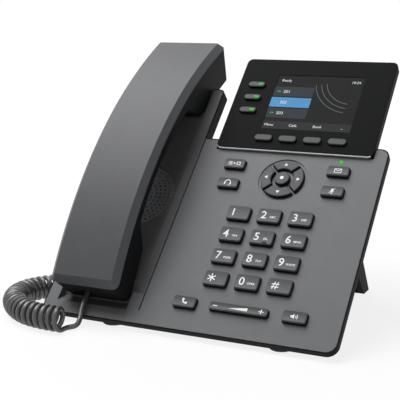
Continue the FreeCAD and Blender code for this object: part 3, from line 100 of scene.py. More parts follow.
def colour_property(name, description, hex_colour):
    """A colour that a user can change, written as sRGB hex."""
    return bpy.props.FloatVectorProperty(
        name=name, description=description, subtype="COLOR", default=linear(hex_colour), min=0.0, max=1.0
    )


def length_property(name, description, millimetres):
    """A length that a user can change, written in millimetres and kept in metres."""
    return bpy.props.FloatProperty(
        name=name,
        description=description,
        default=millimetres * MM,
        min=0.0,
        precision=5,
        subtype="DISTANCE",
        unit="LENGTH",
    )


class PhoneColours(bpy.types.PropertyGroup):
    """Colours of the phone's finishes."""

    plate: colour_property("Plate", "Matt grey front moulding", "#77787A")
    # The grille is the plate's own plastic under a lighter grey: painted light that lifts the disc out of the
    # shaded trough round it.
    grille: colour_property("Grille", "Grey disc over the loudspeaker, painted lighter than the plate", "#96979A")
    cover: colour_property("Handset cover", "Satin grey back of the handset", "#5C5D60")
    cap: colour_property("Key caps", "Grey tops of the keys", "#5B5C5E")
    pill: colour_property("Display keys", "Grey line and soft keys", "#4E4F51")
    skirt: colour_property("Key skirts", "Black sides of the keys", "#141516")
    black: colour_property("Black plastic", "Housing and stand", "#18191A")
    shell: colour_property("Handset shell", "Dark inner side of the handset", "#202123")
    panel: colour_property("Display panel", "Black front of the display head", "#111213")
    # Painted highlight: this light colour stands in for the light caught by the display head's lower edge
    trim: colour_property("Display trim", "Painted highlight along the display's lower edge", "#E8E9EA")
    cord: colour_property("Cord", "Black cord jacket", "#48494B")
    plug: colour_property("Cord plugs", "Smoked plugs at the cord's ends", "#26282B")
    rubber: colour_property("Feet", "Black rubber feet", "#151515")
    cone: colour_property("Loudspeaker", "Black cone behind the grille", "#0C0C0D")
    mat: colour_property("Key mat", "Grey silicone mat under the keys", "#8C8E90")
    board: colour_property("Boards", "Green circuit boards", "#1E5B36")
    steel: colour_property("Steel", "Plated screws, weight and capsules", "#A8AAAD")
    ink: colour_property("Legends", "White print on the keys", "#F4F5F5")
    lamp: colour_property("Lamps", "Lit green lamps", "#1FDC1F")
    screen: colour_property("Screen", "Dark screen background", "#2A2B2D")
    row: colour_property("Screen rows", "Idle line rows on the screen", "#3E454D")
    chosen: colour_property("Chosen row", "Selected line row on the screen", "#5B9BCF")
    bar: colour_property("Screen bar", "Bar behind the soft-key labels", "#37383A")
    text: colour_property("Screen text", "Writing on the screen", "#E9EBEC")
    curves: colour_property("Screen backdrop", "Curves in the screen's backdrop", "#8A8E93")


class PhoneSizes(bpy.types.PropertyGroup):
    """Sizes of the added pieces."""

    digit: length_property("Digit height", "Height of the dial digits", 5.0)
    letters: length_property("Letter height", "Height of the letters beside the digits", 1.35)
    icon: length_property("Icon width", "Width of the pictograms on the function keys", 5.4)
    print_lift: length_property("Print thickness", "Thickness of the printed legends", 0.05)
    dish: length_property("Cap dish", "Depth of the hollow across the key tops", 0.4)
    cord: length_property("Cord diameter", "Diameter of the handset cord", 3.0)
    coil: length_property("Curl radius", "Radius of the curls at the wire's middle", 6.0)
    pitch: length_property("Curl pitch", "Distance from curl to curl", 4.25)


def colours():
    """The colour settings in use."""
    return bpy.context.scene.phone_colours


def size(name):
    """A size setting in millimetres."""
    return getattr(bpy.context.scene.phone_sizes, name) / MM


# Places on the plate


def on_plate(points):
    """Plate points in mm to the frame: right, up the slope and out of the face, then the front edge."""
    p = np.asarray(points, float)
    place = FRONT_EDGE + p[:, :1] * RIGHT + p[:, 1:2] * SLOPE + p[:, 2:3] * OUTWARD
    return place * MM


def to_plate(points):
    """Frame points in metres to the plate's right, up-slope and outward millimetres."""
    p = points / MM - FRONT_EDGE
    return np.stack([p @ RIGHT, p @ SLOPE, p @ OUTWARD], axis=1)


def plate_box(name):
    """Lowest and highest plate coordinates of a CAD node, in mm."""
    plate = to_plate(node_points(name))
    return plate.min(axis=0), plate.max(axis=0)


def key_top(name):
    """Middle of a key's top in plate millimetres."""
    low, high = plate_box(name)
    return (low[0] + high[0]) / 2, (low[1] + high[1]) / 2, high[2]


def cap_halves(name):
    """Half the width and half the height of a key's flat top, from the points that lie in it."""
    points = to_plate(node_points(name))
    near = 0.05
    top = points[points[:, 2] > points[:, 2].max() - near]
    return (top.max(axis=0) - top.min(axis=0))[:2] / 2


# Meshes

WELD = 1e-7
CREASE = math.radians(35)
TUBE_SIDES = 10


def closed_piece(name, points, faces, material):
    """A mesh object whose seams and poles are welded, with faces outward and smooth between creases."""
    mesh = bpy.data.meshes.new(name)
    mesh.from_pydata(points.tolist(), [], faces)
    shell = bmesh.new()
    shell.from_mesh(mesh)
    bmesh.ops.remove_doubles(shell, verts=shell.verts, dist=WELD)
    bmesh.ops.recalc_face_normals(shell, faces=shell.faces)
    shell.to_mesh(mesh)
    shell.free()
    mesh.shade_smooth()
    mesh.set_sharp_from_angle(angle=CREASE)
    mesh.materials.append(material)
    piece = bpy.data.objects.new(name, mesh)
    bpy.context.collection.objects.link(piece)
    return piece


def mesh_piece(name, points, faces, material, body, slot):
    """Adds a finished mesh object that rides on a body."""
    piece = closed_piece(name, points, faces, material)
    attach(piece, body)


def joined(parts):
    """One vertex array and face list from several."""
    points = []
    faces = []
    count = 0
    for part_points, part_faces in parts:
        points.append(part_points)
        faces += [[i + count for i in face] for face in part_faces]
        count += len(part_points)
    return np.concatenate(points), faces


def loop_faces(rings, count):
    """Quads between rings of points that each close on themselves."""
    i, j = np.meshgrid(np.arange(rings - 1), np.arange(count), indexing="ij")
    k = (j + 1) % count
    quads = np.stack([i * count + j, i * count + k, (i + 1) * count + k, (i + 1) * count + j], axis=-1)
    return quads.reshape(-1, 4).tolist()


def capped_faces(rings, count):
    """Quads between rings, with a flat face over the first ring and over the last."""
    last = (rings - 1) * count
    return loop_faces(rings, count) + [list(range(count)), list(range(last, last + count))]


def curve_mesh(curve):
    """Points and faces of a flat curve or text, read from its mesh."""
    holder = bpy.data.objects.new("flat", curve)
    bpy.context.collection.objects.link(holder)
    bpy.context.view_layer.update()
    mesh = bpy.data.meshes.new_from_object(holder.evaluated_get(bpy.context.evaluated_depsgraph_get()))
    points = np.empty(len(mesh.vertices) * 3)
    mesh.vertices.foreach_get("co", points)
    faces = [list(polygon.vertices) for polygon in mesh.polygons]
    bpy.data.objects.remove(holder)
    bpy.data.curves.remove(curve)
    bpy.data.meshes.remove(mesh)
    return points.reshape(-1, 3), faces


def lettering(text, height, align="CENTER", weight=0.0):
    """Flat text whose capitals have a height in mm, with its lower edge near zero and its strokes widened."""
    capital_share = 0.7
    curve = bpy.data.curves.new("text", "FONT")
    curve.body = text
    curve.size = height / capital_share
    curve.align_x = align
    curve.resolution_u = 4
    curve.offset = weight
    curve.extrude = size("print_lift") / 2
    return curve_mesh(curve)


def flat_shape(outlines, thickness=None):
    """Flat shape inside closed outlines, with holes where outlines nest."""
    curve = bpy.data.curves.new("figure", "CURVE")
    curve.dimensions = "2D"
    curve.fill_mode = "BOTH"
    curve.extrude = (thickness or size("print_lift")) / 2
    for outline in outlines:
        spline = curve.splines.new("POLY")
        spline.points.add(len(outline) - 1)
        rows = np.column_stack([outline, np.zeros(len(outline)), np.ones(len(outline))])
        spline.points.foreach_set("co", rows.ravel())
        spline.use_cyclic_u = True
    return curve_mesh(curve)


def figure(*shapes):
    """One figure from flat shapes, each given as a list of outlines."""
    return joined([flat_shape(outlines) for outlines in shapes])


def box_outline(x0, x1, y0, y1):
    """Upright rectangle."""
    return np.array([[x0, y0], [x1, y0], [x1, y1], [x0, y1]], float)


def ring_outline(x, y, r, start=0.0, stop=360.0, count=28):
    """Points on a circle's arc: centre plus radius times cosine and sine."""
    turn = np.radians(np.linspace(start, stop, count, endpoint=abs(stop - start) < 360))
    return np.column_stack([x + r * np.cos(turn), y + r * np.sin(turn)])


def band_outline(x, y, r, width, start, stop):
    """Part of a ring: an outer arc and the inner arc back."""
    outer = ring_outline(x, y, r + width / 2, start, stop)
    inner = ring_outline(x, y, r - width / 2, start, stop)
    return np.concatenate([outer, inner[::-1]])


def pill_outline(x, y, width, height):
    """Upright pill: two half circles joined by straight sides."""
    r = width / 2
    reach = height / 2 - r
    upper = ring_outline(x, y + reach, r, 0, 180, count=12)
    lower = ring_outline(x, y - reach, r, 180, 360, count=12)
    return np.concatenate([upper, lower])


def stroke_outline(x0, y0, x1, y1, width):
    """Straight stroke of a width between two points."""
    along = np.array([x1 - x0, y1 - y0], float)
    across = np.array([-along[1], along[0]]) / np.hypot(*along) * width / 2
    a = np.array([x0, y0])
    b = np.array([x1, y1])
    return np.array([a - across, b - across, b + across, a + across])


def run_along(line):
    """Distance along a polyline at each of its points."""
    steps = np.linalg.norm(np.diff(line, axis=0), axis=1)
    return np.concatenate([[0.0], np.cumsum(steps)])


def evenly(line, count):
    """A polyline resampled to a count of evenly spaced points."""
    along = run_along(line)
    at = np.linspace(0, along[-1], count)
    return np.column_stack([np.interp(at, along, column) for column in line.T])


def rounded_outline(half_u, half_v, r):
    """Rectangle with four quarter circles at its corners, as evenly spaced points."""
    count = 96
    corners = []
    for turn, u, v in ((0, 1, 1), (90, -1, 1), (180, -1, -1), (270, 1, -1)):
        corners.append(ring_outline(u * (half_u - r), v * (half_v - r), r, turn, turn + 90, count=7))
    loop = np.concatenate(corners + [corners[0][:1]])
    return evenly(loop, count + 1)[:-1]


def dish_rise(v, half_v):
    """Height of a dished top over its middle: the dish's depth times the square of v's share."""
    return size("dish") * (v / half_v) ** 2


def dished_cap(half_u, half_v, r):
    """Thin cap with a dished top: an outline shrunk in even steps to its middle, raised by the dish.

    The first ring is the outline at the underside, so the wall between it and the second closes the edge.
    """
    steps = 9
    foot = -0.03
    skin = 0.03
    edge = rounded_outline(half_u, half_v, r)
    share = np.linspace(1.0, 0.0, steps)
    plan = edge * share[:, None, None]
    top = np.dstack([plan, skin + dish_rise(plan[:, :, 1], half_v)])
    under = np.column_stack([edge, np.full(len(edge), foot)])
    rings = np.concatenate([under[None], top])
    faces = loop_faces(len(rings), len(edge))
    faces.append(list(range(len(edge))))
    return rings.reshape(-1, 3), faces


def placed(part, u, v, w):
    """A flat figure's points moved to a place on the plate, in frame metres."""
    points, faces = part
    lift = size("print_lift") / 2
    return on_plate(points + np.array([u, v, w + lift])), faces


def printed(part, key, u=0.0, v=0.0):
    """A flat figure laid on a key's dished top, each point raised by the dish at its place."""
    points, faces = part
    skin = 0.04
    spot = points + np.array([u, v, skin])
    spot[:, 2] += dish_rise(spot[:, 1], cap_halves(key)[1])
    return placed((spot, faces), *key_top(key))


def swept_tube(path, radius):
    """Round tube on a path: each ring is the point plus radius times cosine and sine of two normals.

    The normals are carried along the path without twist, as the part of the last normal that is square
    to the new heading.
    """
    heading = np.gradient(path, axis=0)
    heading /= np.linalg.norm(heading, axis=1, keepdims=True)
    normals = np.empty_like(path)
    normal = np.cross(heading[0], [0.0, 0.0, 1.0])
    for i, ahead in enumerate(heading):
        normal = normal - ahead * (normal @ ahead)
        normal = normal / np.linalg.norm(normal)
        normals[i] = normal
    binormals = np.cross(heading, normals)
    turn = np.linspace(0, 2 * np.pi, TUBE_SIDES, endpoint=False)
    along_normal = radius * np.cos(turn)[:, None]
    along_binormal = radius * np.sin(turn)[:, None]
    rings = path[:, None] + along_normal * normals[:, None] + along_binormal * binormals[:, None]
    return rings.reshape(-1, 3), capped_faces(len(path), TUBE_SIDES)


# Materials

PLASTIC_IOR = 1.5
GRAIN_DETAIL = 3.0
GRAIN_STRENGTH = 0.5
CLOUD_DETAIL = 4.0
CLOUD_EDGES = (0.3, 0.7)

# Grey shot on a key in mm: its thickness, and half the blur where it meets the skirt
CAP_SHOT = 0.42
CAP_BLUR = 0.06

# Dots moulded in the display panel in mm: their pitch and depth
DOT_PITCH = 1.1
DOT_DEPTH = 0.02

# Sockets of the colour mix node: first and second colour, and the result
MIX_FIRST = 6
MIX_SECOND = 7
MIX_RESULT = 2


def node(tree, kind, inputs=None, **settings):
    """Adds a node, with its settings, socket values and links."""
    made = tree.nodes.new(kind)
    for name, value in settings.items():
        setattr(made, name, value)
    for name, value in (inputs or {}).items():
        if isinstance(value, bpy.types.NodeSocket):
            tree.links.new(value, made.inputs[name])
        else:
            made.inputs[name].default_value = value
    return made


def new_material(name):
    """An empty node material, its tree, and the socket with each point's place in its object."""
    material = bpy.data.materials.new(name)
    material.use_nodes = True
    tree = material.node_tree
    tree.nodes.clear()
    return material, tree, node(tree, "ShaderNodeTexCoord").outputs["Object"]


def surfaced(material, values):
    """The material, given a Principled surface with these values in its sockets."""
    tree = material.node_tree
    surface = node(tree, "ShaderNodeBsdfPrincipled", values)
    node(tree, "ShaderNodeOutputMaterial", {"Surface": surface.outputs["BSDF"]})
    return material


def tint(colour, factor=1.0):
    """A colour made lighter or darker, with alpha."""
    return tuple(min(1.0, c * factor) for c in colour) + (1.0,)


def noise(tree, place, size_mm, detail):
    """Noise whose spots have a size in mm."""
    values = {"Vector": place, "Scale": 1 / (size_mm * MM), "Detail": detail}
    return node(tree, "ShaderNodeTexNoise", values).outputs["Fac"]


def bump(tree, height, depth_mm, strength):
    """Normals of a face raised by a height field that has a depth in mm."""
    values = {"Height": height, "Distance": depth_mm * MM, "Strength": strength}
    return node(tree, "ShaderNodeBump", values).outputs["Normal"]


def grain(tree, place, size_mm, depth_mm):
    """Normals of a fine moulded grain."""
    return bump(tree, noise(tree, place, size_mm, GRAIN_DETAIL), depth_mm, GRAIN_STRENGTH)


def uneven_colour(tree, place, colour, spread, size_mm):
    """Slight cloudiness of a colour: noise on a ramp from a darker to a lighter tint."""
    ramp = node(tree, "ShaderNodeValToRGB", {"Fac": noise(tree, place, size_mm, CLOUD_DETAIL)})
    shades = (1 - spread, 1 + spread)
    for element, position, shade in zip(ramp.color_ramp.elements, CLOUD_EDGES, shades):
        element.position = position
        element.color = tint(colour, shade)
    return ramp.outputs["Color"]


def moulded_plastic(name, colour, roughness, grain_mm, depth_mm, specular, spread):
    """Spark-textured moulded ABS: an even colour broken by a fine grain that softens highlights."""
    material, tree, place = new_material(name)
    values = {
        "Base Color": uneven_colour(tree, place, colour, spread, size_mm=9.0),
        "Roughness": roughness,
        "IOR": PLASTIC_IOR,
        "Specular IOR Level": specular,
        "Normal": grain(tree, place, grain_mm, depth_mm),
    }
    return surfaced(material, values)


def two_shot_cap(name, colour, skirt, top_mm):
    """Key moulded in two shots: a grey top over a black skirt, parted at a height above the plate."""
    material, tree, place = new_material(name)
    height = node(tree, "ShaderNodeVectorMath", {0: place, 1: Vector(OUTWARD)}, operation="DOT_PRODUCT")
    part = float(FRONT_EDGE @ OUTWARD) + top_mm - CAP_SHOT
    blur = {"From Min": (part - CAP_BLUR) * MM, "From Max": (part + CAP_BLUR) * MM}
    share = node(tree, "ShaderNodeMapRange", {"Value": height.outputs["Value"], **blur})
    shots = {
        "Factor": share.outputs["Result"],
        MIX_FIRST: tint(skirt),
        MIX_SECOND: uneven_colour(tree, place, colour, spread=0.03, size_mm=4.0),
    }
    mix = node(tree, "ShaderNodeMix", shots, data_type="RGBA")
    values = {
        "Base Color": mix.outputs[MIX_RESULT],
        "Roughness": 0.5,
        "IOR": PLASTIC_IOR,
        "Specular IOR Level": 0.25,
        "Normal": grain(tree, place, size_mm=0.3, depth_mm=0.02),
    }
    return surfaced(material, values)


def dotted_panel(name, colour):
    """Gloss-black display panel with a faint moulded dot pattern that breaks its shine."""
    material, tree, place = new_material(name)
    pattern = {"Vector": place, "Scale": 1 / (DOT_PITCH * MM), "Randomness": 0.0}
    dots = node(tree, "ShaderNodeTexVoronoi", pattern)
    values = {
        "Base Color": uneven_colour(tree, place, colour, spread=0.06, size_mm=6.0),
        "Roughness": 0.45,
        "IOR": PLASTIC_IOR,
        "Specular IOR Level": 0.03,
        "Normal": bump(tree, dots.outputs["Distance"], DOT_DEPTH, strength=0.35),
    }
    return surfaced(material, values)


def lit_surface(name, colour, strength, roughness=0.3):
    """Lens or screen picture that glows with its own colour under a smooth face."""
    material, tree, place = new_material(name)
    values = {
        "Base Color": (0.01, 0.01, 0.01, 1.0),
        "Roughness": roughness,
        "Specular IOR Level": 0.02,
        "Emission Color": uneven_colour(tree, place, colour, spread=0.03, size_mm=12.0),
        "Emission Strength": strength,
    }
    return surfaced(material, values)


def ink_with_painted_glow(name, colour):
    """Pad-printed ink or paint, slightly uneven, a little rougher than the cap, with a faint painted glow of
    its own colour that keeps it bright in any light.
    """
    material, tree, place = new_material(name)
    values = {
        "Base Color": uneven_colour(tree, place, colour, spread=0.03, size_mm=1.0),
        "Roughness": 0.55,
        # Painted glow: the emission keeps the print bright whatever light falls on it
        "Emission Color": tint(colour),
        "Emission Strength": 0.25,
    }
    return surfaced(material, values)


def plain_metal(name, colour, roughness):
    """Rolled or plated metal with faint streaks."""
    material, tree, place = new_material(name)
    stretch = node(tree, "ShaderNodeMapping", {"Vector": place, "Scale": (1.0, 8.0, 8.0)})
    values = {
        "Base Color": tint(colour),
        "Metallic": 1.0,
        "Roughness": roughness,
        "Normal": grain(tree, stretch.outputs["Vector"], size_mm=0.6, depth_mm=0.01),
    }
    return surfaced(material, values)


# Plastics by colour setting: real material, roughness, grain size and depth in mm, shine, unevenness
PLASTICS = {
    "plate": ("Moulded grey ABS, spark texture", 0.5, 0.35, 0.02, 0.3, 0.04),
    # The grille row is the plate's plastic again, with a lighter painted grey that stands in for light
    "grille": ("Moulded grey ABS, grille", 0.5, 0.35, 0.02, 0.3, 0.04),
    "cover": ("Moulded grey ABS, satin", 0.45, 0.3, 0.01, 0.3, 0.04),
    "cap": ("Moulded grey ABS, key tops", 0.5, 0.3, 0.02, 0.3, 0.03),
    "black": ("Moulded black ABS", 0.55, 0.4, 0.03, 0.05, 0.04),
    "shell": ("Moulded black ABS, fine", 0.52, 0.3, 0.02, 0.06, 0.04),
    "rubber": ("Silicone rubber, black", 0.7, 0.6, 0.04, 0.5, 0.04),
    "cone": ("Pressed paper cone, black", 0.8, 0.5, 0.05, 0.05, 0.04),
    "board": ("Solder mask on glass laminate", 0.4, 0.8, 0.01, 0.5, 0.04),
    "mat": ("Silicone rubber, grey", 0.7, 0.6, 0.03, 0.5, 0.04),
    "plug": ("Polycarbonate plug, smoked", 0.15, 1.0, 0.004, 0.5, 0.04),
    "cord": ("Flexible vinyl jacket, black", 0.3, 0.8, 0.01, 0.85, 0.08),
}

# Plastic of the CAD nodes; the rest is black, apart from the keys, steel, panel, screen and message lamp
NODE_PLASTICS = {
    "face_plate": "plate",
    "speaker_grille": "grille",
    "handset_cover": "cover",
    "handset_shell": "shell",
    "hook_plunger": "shell",
    "rubber_feet": "rubber",
    "loudspeaker": "cone",
    "main_board": "board",
    "display_board": "board",
    "key_mat": "mat",
    "handset_plug": "plug",
    "base_plug": "plug",
}
STEEL_NODES = ("housing_screws", "receiver_capsule", "microphone", "handset_weight")


def plastic(key):
    """The one plastic of a colour setting, made the first time it is asked for."""
    title, *values = PLASTICS[key]
    return bpy.data.materials.get(title) or moulded_plastic(title, getattr(colours(), key), *values)


def ink():
    """The one white print with its painted glow, made the first time it is asked for."""
    title = "White pad print"
    return bpy.data.materials.get(title) or ink_with_painted_glow(title, colours().ink)


def key_finish(name):
    """Two-shot finish for a key, one material for each kind and height of cap."""
    palette = colours()
    top = key_top(name)[2]
    pill = name.startswith(PILL_KEYS)
    colour = palette.pill if pill else palette.cap
    kind = "Two-shot key, pill" if pill else "Two-shot key"
    title = f"{kind}, top at {top:.1f} mm"
    return bpy.data.materials.get(title) or two_shot_cap(title, colour, palette.skirt, top)


# Operators


class PHONE_OT_finishes(bpy.types.Operator):
    """Gives each CAD node the finish of its real material"""

    bl_idname = "phone.finishes"
    bl_label = "Finishes"

    def execute(self, context):
        palette = colours()
        steel = plain_metal("Zinc-plated steel", palette.steel, roughness=0.35)
        finishes = dict.fromkeys(STEEL_NODES, steel)
        finishes["display_cover"] = dotted_panel("Gloss black panel", palette.panel)
        glass = lit_surface("Screen glass, dark picture", palette.screen, strength=0.42, roughness=0.2)
        finishes["lcd_module"] = glass
        finishes["message_lamp"] = lit_surface("Lit green lens", palette.lamp, strength=0.9)
        for name in KEYS:
            finishes[name] = key_finish(name)
        for name, thing in frame["nodes"].items():
            finish = finishes.get(name) or plastic(NODE_PLASTICS.get(name, "black"))
            thing.data.materials.clear()
            thing.data.materials.append(finish)
        return {"FINISHED"}


class PHONE_OT_key_tops(bpy.types.Operator):
    """Lays a dished grey top on each rectangular key"""

    bl_idname = "phone.key_tops"
    bl_label = "Key tops"

    def execute(self, context):
        corner = 0.95
        for name in FLAT_KEYS:
            cap = placed(dished_cap(*cap_halves(name), corner), *key_top(name))
            mesh_piece("top" + name[3:], *cap, plastic("cap"), name, "key_grey")
        return {"FINISHED"}


# Dial keys: name and letters
DIAL = [
    ("1", ""),
    ("2", "ABC"),
    ("3", "DEF"),
    ("4", "GHI"),
    ("5", "JKL"),
    ("6", "MNO"),
    ("7", "PQRS"),
    ("8", "TUV"),
    ("9", "WXYZ"),
    ("star", ""),
    ("0", "OPER"),
    ("hash", ""),
]

# Places of the dial legends in mm, from the key's middle or the digits' foot
DIGIT_U = -3.1
DIGIT_LIFT = 0.2
SIGN_U = -2.4
LETTERS_U = 2.6
LETTERS_LIFT = 0.7

# Added weight and stroke widths in mm, and the signs' sizes as shares of a digit's height
DIGIT_WEIGHT = 0.05
LETTERS_WEIGHT = 0.02
STAR_STROKE = 0.62
HASH_STROKE = 0.55
STAR_SHARE = 0.52
HASH_SHARE = 0.9

# Raised mark on the 5 key in mm: half width, half height and corner; its rise and its place
NIB = (1.3, 0.28, 0.2)
NIB_RISE = 0.35
NIB_U = 2.6
NIB_V = -3.5


def star_figure(r):
    """Three strokes that cross at sixty degrees."""
    ends = ring_outline(0, 0, r, 90, -30, count=3)
    return figure(*[[stroke_outline(-x, -y, x, y, STAR_STROKE)] for x, y in ends])


def hash_figure(width):
    """Two leaning strokes crossed by two level ones."""
    half = width / 2
    lean = width * 0.14
    gap = width * 0.2
    strokes = []
    for side in (-gap, gap):
        strokes.append([stroke_outline(side - lean, -half, side + lean, half, HASH_STROKE)])
        strokes.append([stroke_outline(-half, side, half, side, HASH_STROKE)])
    return figure(*strokes)


class PHONE_OT_dial_legends(bpy.types.Operator):
    """Prints digits and letters on the dial keys, and raises the mark on the 5"""

    bl_idname = "phone.dial_legends"
    bl_label = "Dial legends"

    def execute(self, context):
        height = size("digit")
        foot = DIGIT_LIFT - height / 2
        for name, letters in DIAL:
            key = "key_" + name
            if name == "star":
                parts = [printed(star_figure(height * STAR_SHARE), key, SIGN_U)]
            elif name == "hash":
                parts = [printed(hash_figure(height * HASH_SHARE), key, SIGN_U)]
            else:
                parts = [printed(lettering(name, height, weight=DIGIT_WEIGHT), key, DIGIT_U, foot)]
            if letters:
                small = lettering(letters, size("letters"), weight=LETTERS_WEIGHT)
                parts.append(printed(small, key, LETTERS_U, foot + LETTERS_LIFT))
            mesh_piece("legend_" + name, *joined(parts), ink(), key, "key_grey")
        points, faces = dished_cap(*NIB)
        points[:, 2] *= NIB_RISE / points[:, 2].max()
        raised = printed((points, faces), "key_5", NIB_U, NIB_V)
        mesh_piece("nib_5", *raised, plastic("cap"), "key_5", "key_grey")
        return {"FINISHED"}


# The icons are drawn for this width in mm, then scaled to the size that is set
ICON = 5.4


def transfer_figure():
    """A list page, an arrow and a second page."""
    half = 0.72 * ICON
    page = 0.46 * ICON
    h = 0.21 * ICON
    pitch = 0.8 * h
    line = 0.2
    rim = 0.42
    rows = [[box_outline(-half, page - half, k * pitch - line, k * pitch + line)] for k in (-1, 0, 1)]
    arrow = np.array([[-0.5, -0.75], [0.75, 0.0], [-0.5, 0.75]])
    outer = box_outline(half - page, half, -h, h)
    inner = box_outline(half - page + rim, half - rim, rim - h, h - rim)
    return figure(*rows, [arrow], [outer, inner])


def headset_figure():
    """A headband with two ear cups and a boom."""
    r = 0.34 * ICON
    cup = 0.42
    band = band_outline(0, -0.1, r, 0.5, -10, 190)
    boom = band_outline(0.35 * r, -1.1, 0.65 * r, 0.32, -90, 0)
    cups = [[box_outline(x - cup, x + cup, -1.3, 0.0)] for x in (-r, r)]
    return figure([band], [boom], *cups)


def message_figure():
    """An envelope: a frame with a flap."""
    w = 0.42 * ICON
    h = 0.27 * ICON
    rim = 0.38
    outer = box_outline(-w, w, -h, h)
    inner = box_outline(rim - w, w - rim, rim - h, h - rim)
    flap = [[stroke_outline(side * (w - 0.2), h - 0.3, 0, -0.1, 0.34)] for side in (-1, 1)]
    return figure([outer, inner], *flap)


def mute_figure():
    """A microphone on its stand with a slash."""
    reach = 0.3 * ICON
    head = pill_outline(0, 0.5, 1.3, 2.2)
    cradle = band_outline(0, 0.35, 1.25, 0.3, 200, 340)
    stem = box_outline(-0.16, 0.16, -1.9, -0.9)
    foot = box_outline(-0.7, 0.7, -2.1, -1.8)
    slash = stroke_outline(-reach, -1.5, reach, 1.7, 0.36)
    return figure([head], [cradle], [stem], [foot], [slash])


def call_figure():
    """A telephone receiver: a thick arc with two lobes."""
    middle = 0.9
    shift = 0.12
    r = 1.9
    lobe = 0.72
    arc = band_outline(middle, middle, r, 0.75, 175, 275)
    ends = ring_outline(middle + shift, middle + shift, r, 172, 278, count=2)
    return figure([arc], *[[ring_outline(x, y, lobe)] for x, y in ends])


def speaker_figure():
    """A loudspeaker cone with two waves."""
    half = np.array([[-2.2, -0.6], [-1.3, -0.6], [-0.1, -1.5]])
    cone = np.concatenate([half, half[::-1] * np.array([1, -1])])
    waves = [[band_outline(-0.1, 0, r, 0.42, -42, 42)] for r in (0.95, 1.85)]
    return figure([cone], *waves)


class PHONE_OT_function_icons(bpy.types.Operator):
    """Prints pictograms on the function keys"""

    bl_idname = "phone.function_icons"
    bl_label = "Function icons"

    def execute(self, context):
        figures = {
            "key_transfer": transfer_figure,
            "key_headset": headset_figure,
            "key_message": message_figure,
            "key_mute": mute_figure,
            "key_call": call_figure,
            "key_speaker": speaker_figure,
        }
        for name, draw in figures.items():
            points, faces = draw()
            points[:, :2] *= size("icon") / ICON
            mesh_piece("icon" + name[3:], *printed((points, faces), name), ink(), name, "key_grey")
        return {"FINISHED"}


# Marks on the navigation keys in mm: arrows' distance from the middle and radius, and the dot's radius
ARROW_REACH = 9.9
ARROW_RADIUS = 1.3
DOT_RADIUS = 1.15

# Marks on the volume key in mm from its middle: the minus, the two strokes of the plus, and the wedge
VOLUME_STROKES = [(-15.2, -12.4, -0.25, 0.25), (12.2, 15.2, -0.25, 0.25), (13.45, 13.95, -1.4, 1.4)]
VOLUME_WEDGE = [(-6.0, -0.55), (5.6, -0.95), (5.6, 0.95)]


class PHONE_OT_navigation_marks(bpy.types.Operator):
    """Prints arrows on the navigation ring, a dot on its middle and the marks of the volume key"""

    bl_idname = "phone.navigation_marks"
    bl_label = "Navigation and volume marks"

    def execute(self, context):
        middle_u, middle_v, middle_w = key_top("key_ok")
        for name, turn in (("right", 0), ("up", 90), ("left", 180), ("down", 270)):
            key = "key_" + name
            arrow = flat_shape([ring_outline(0, 0, ARROW_RADIUS, turn, turn + 360, count=3)])
            u, v = ring_outline(middle_u, middle_v, ARROW_REACH, turn, turn, count=1)[0]
            mesh_piece("arrow_" + name, *placed(arrow, u, v, key_top(key)[2]), ink(), key, "key_grey")
        dot = placed(flat_shape([ring_outline(0, 0, DOT_RADIUS)]), middle_u, middle_v, middle_w)
        mesh_piece("dot_ok", *dot, ink(), "key_ok", "key_grey")
        strokes = [[box_outline(*stroke)] for stroke in VOLUME_STROKES]
        marks = printed(figure(*strokes, [np.array(VOLUME_WEDGE)]), "key_volume")
        mesh_piece("marks_volume", *marks, ink(), "key_volume", "key_grey")
        return {"FINISHED"}


# Lit bar of a line key in mm: left, right, lower and upper side from the key's middle, and its thickness
LAMP_BAR = (1.4, 4.3, -0.55, 0.55)
LAMP_THICKNESS = 0.1


class PHONE_OT_lamps(bpy.types.Operator):
    """Sets a lit bar in the right end of each line key"""

    bl_idname = "phone.lamps"
    bl_label = "Lamps"

    def execute(self, context):
        lens = lit_surface("Lit green bar", colours().lamp, strength=1.0)
        for i in (1, 2, 3):
            key = f"key_line_{i}"
            bar = placed(flat_shape([box_outline(*LAMP_BAR)], LAMP_THICKNESS), *key_top(key))
            mesh_piece(f"lamp_line_{i}", *bar, lens, key, "lamp_lens")
        return {"FINISHED"}


# Screen texts
SCREEN_LINES = ["201", "202", "203"]
SCREEN_LABELS = ["Menu", "Calls", "Book", "..."]
SCREEN_STATE = "Ready"
SCREEN_CLOCK = "10:24"
CHOSEN_LINE = "202"

# Screen layout in mm, from the sides of the visible picture; the second layer lies over the rows and the bar
SCREEN_BORDER = 2.7
SECOND_LAYER = 0.08
TEXT_HEIGHT = 1.9
HEADER_DROP = 5.2
HEADER_LEFT = 3.0
HEADER_RIGHT = 2.0
ROW_FIRST = 13.6
ROW_PITCH = 8.8
ROW_HALF = 3.9
ROW_WIDTH = 26.5
NUMBER_HEIGHT = 2.2
NUMBER_LEFT = 6.4
BAR_HEIGHT = 6.2
LABEL_LIFT = 2.2

# State mark of a row in mm: its place from the left, and its two squares
STATE_LEFT = 3.4
STATE_SQUARES = [(-1.0, -0.2, -0.4, 0.4), (0.3, 1.1, -0.4, 0.4)]

# Backdrop curves in mm and degrees: their middle from the upper right corner, radii, width and ends
CURVE_IN = 4.0
CURVE_DROP = 2.0
CURVE_RADII = (20.0, 23.5, 27.0)
CURVE_WIDTH = 0.35
CURVE_ENDS = (192, 262)


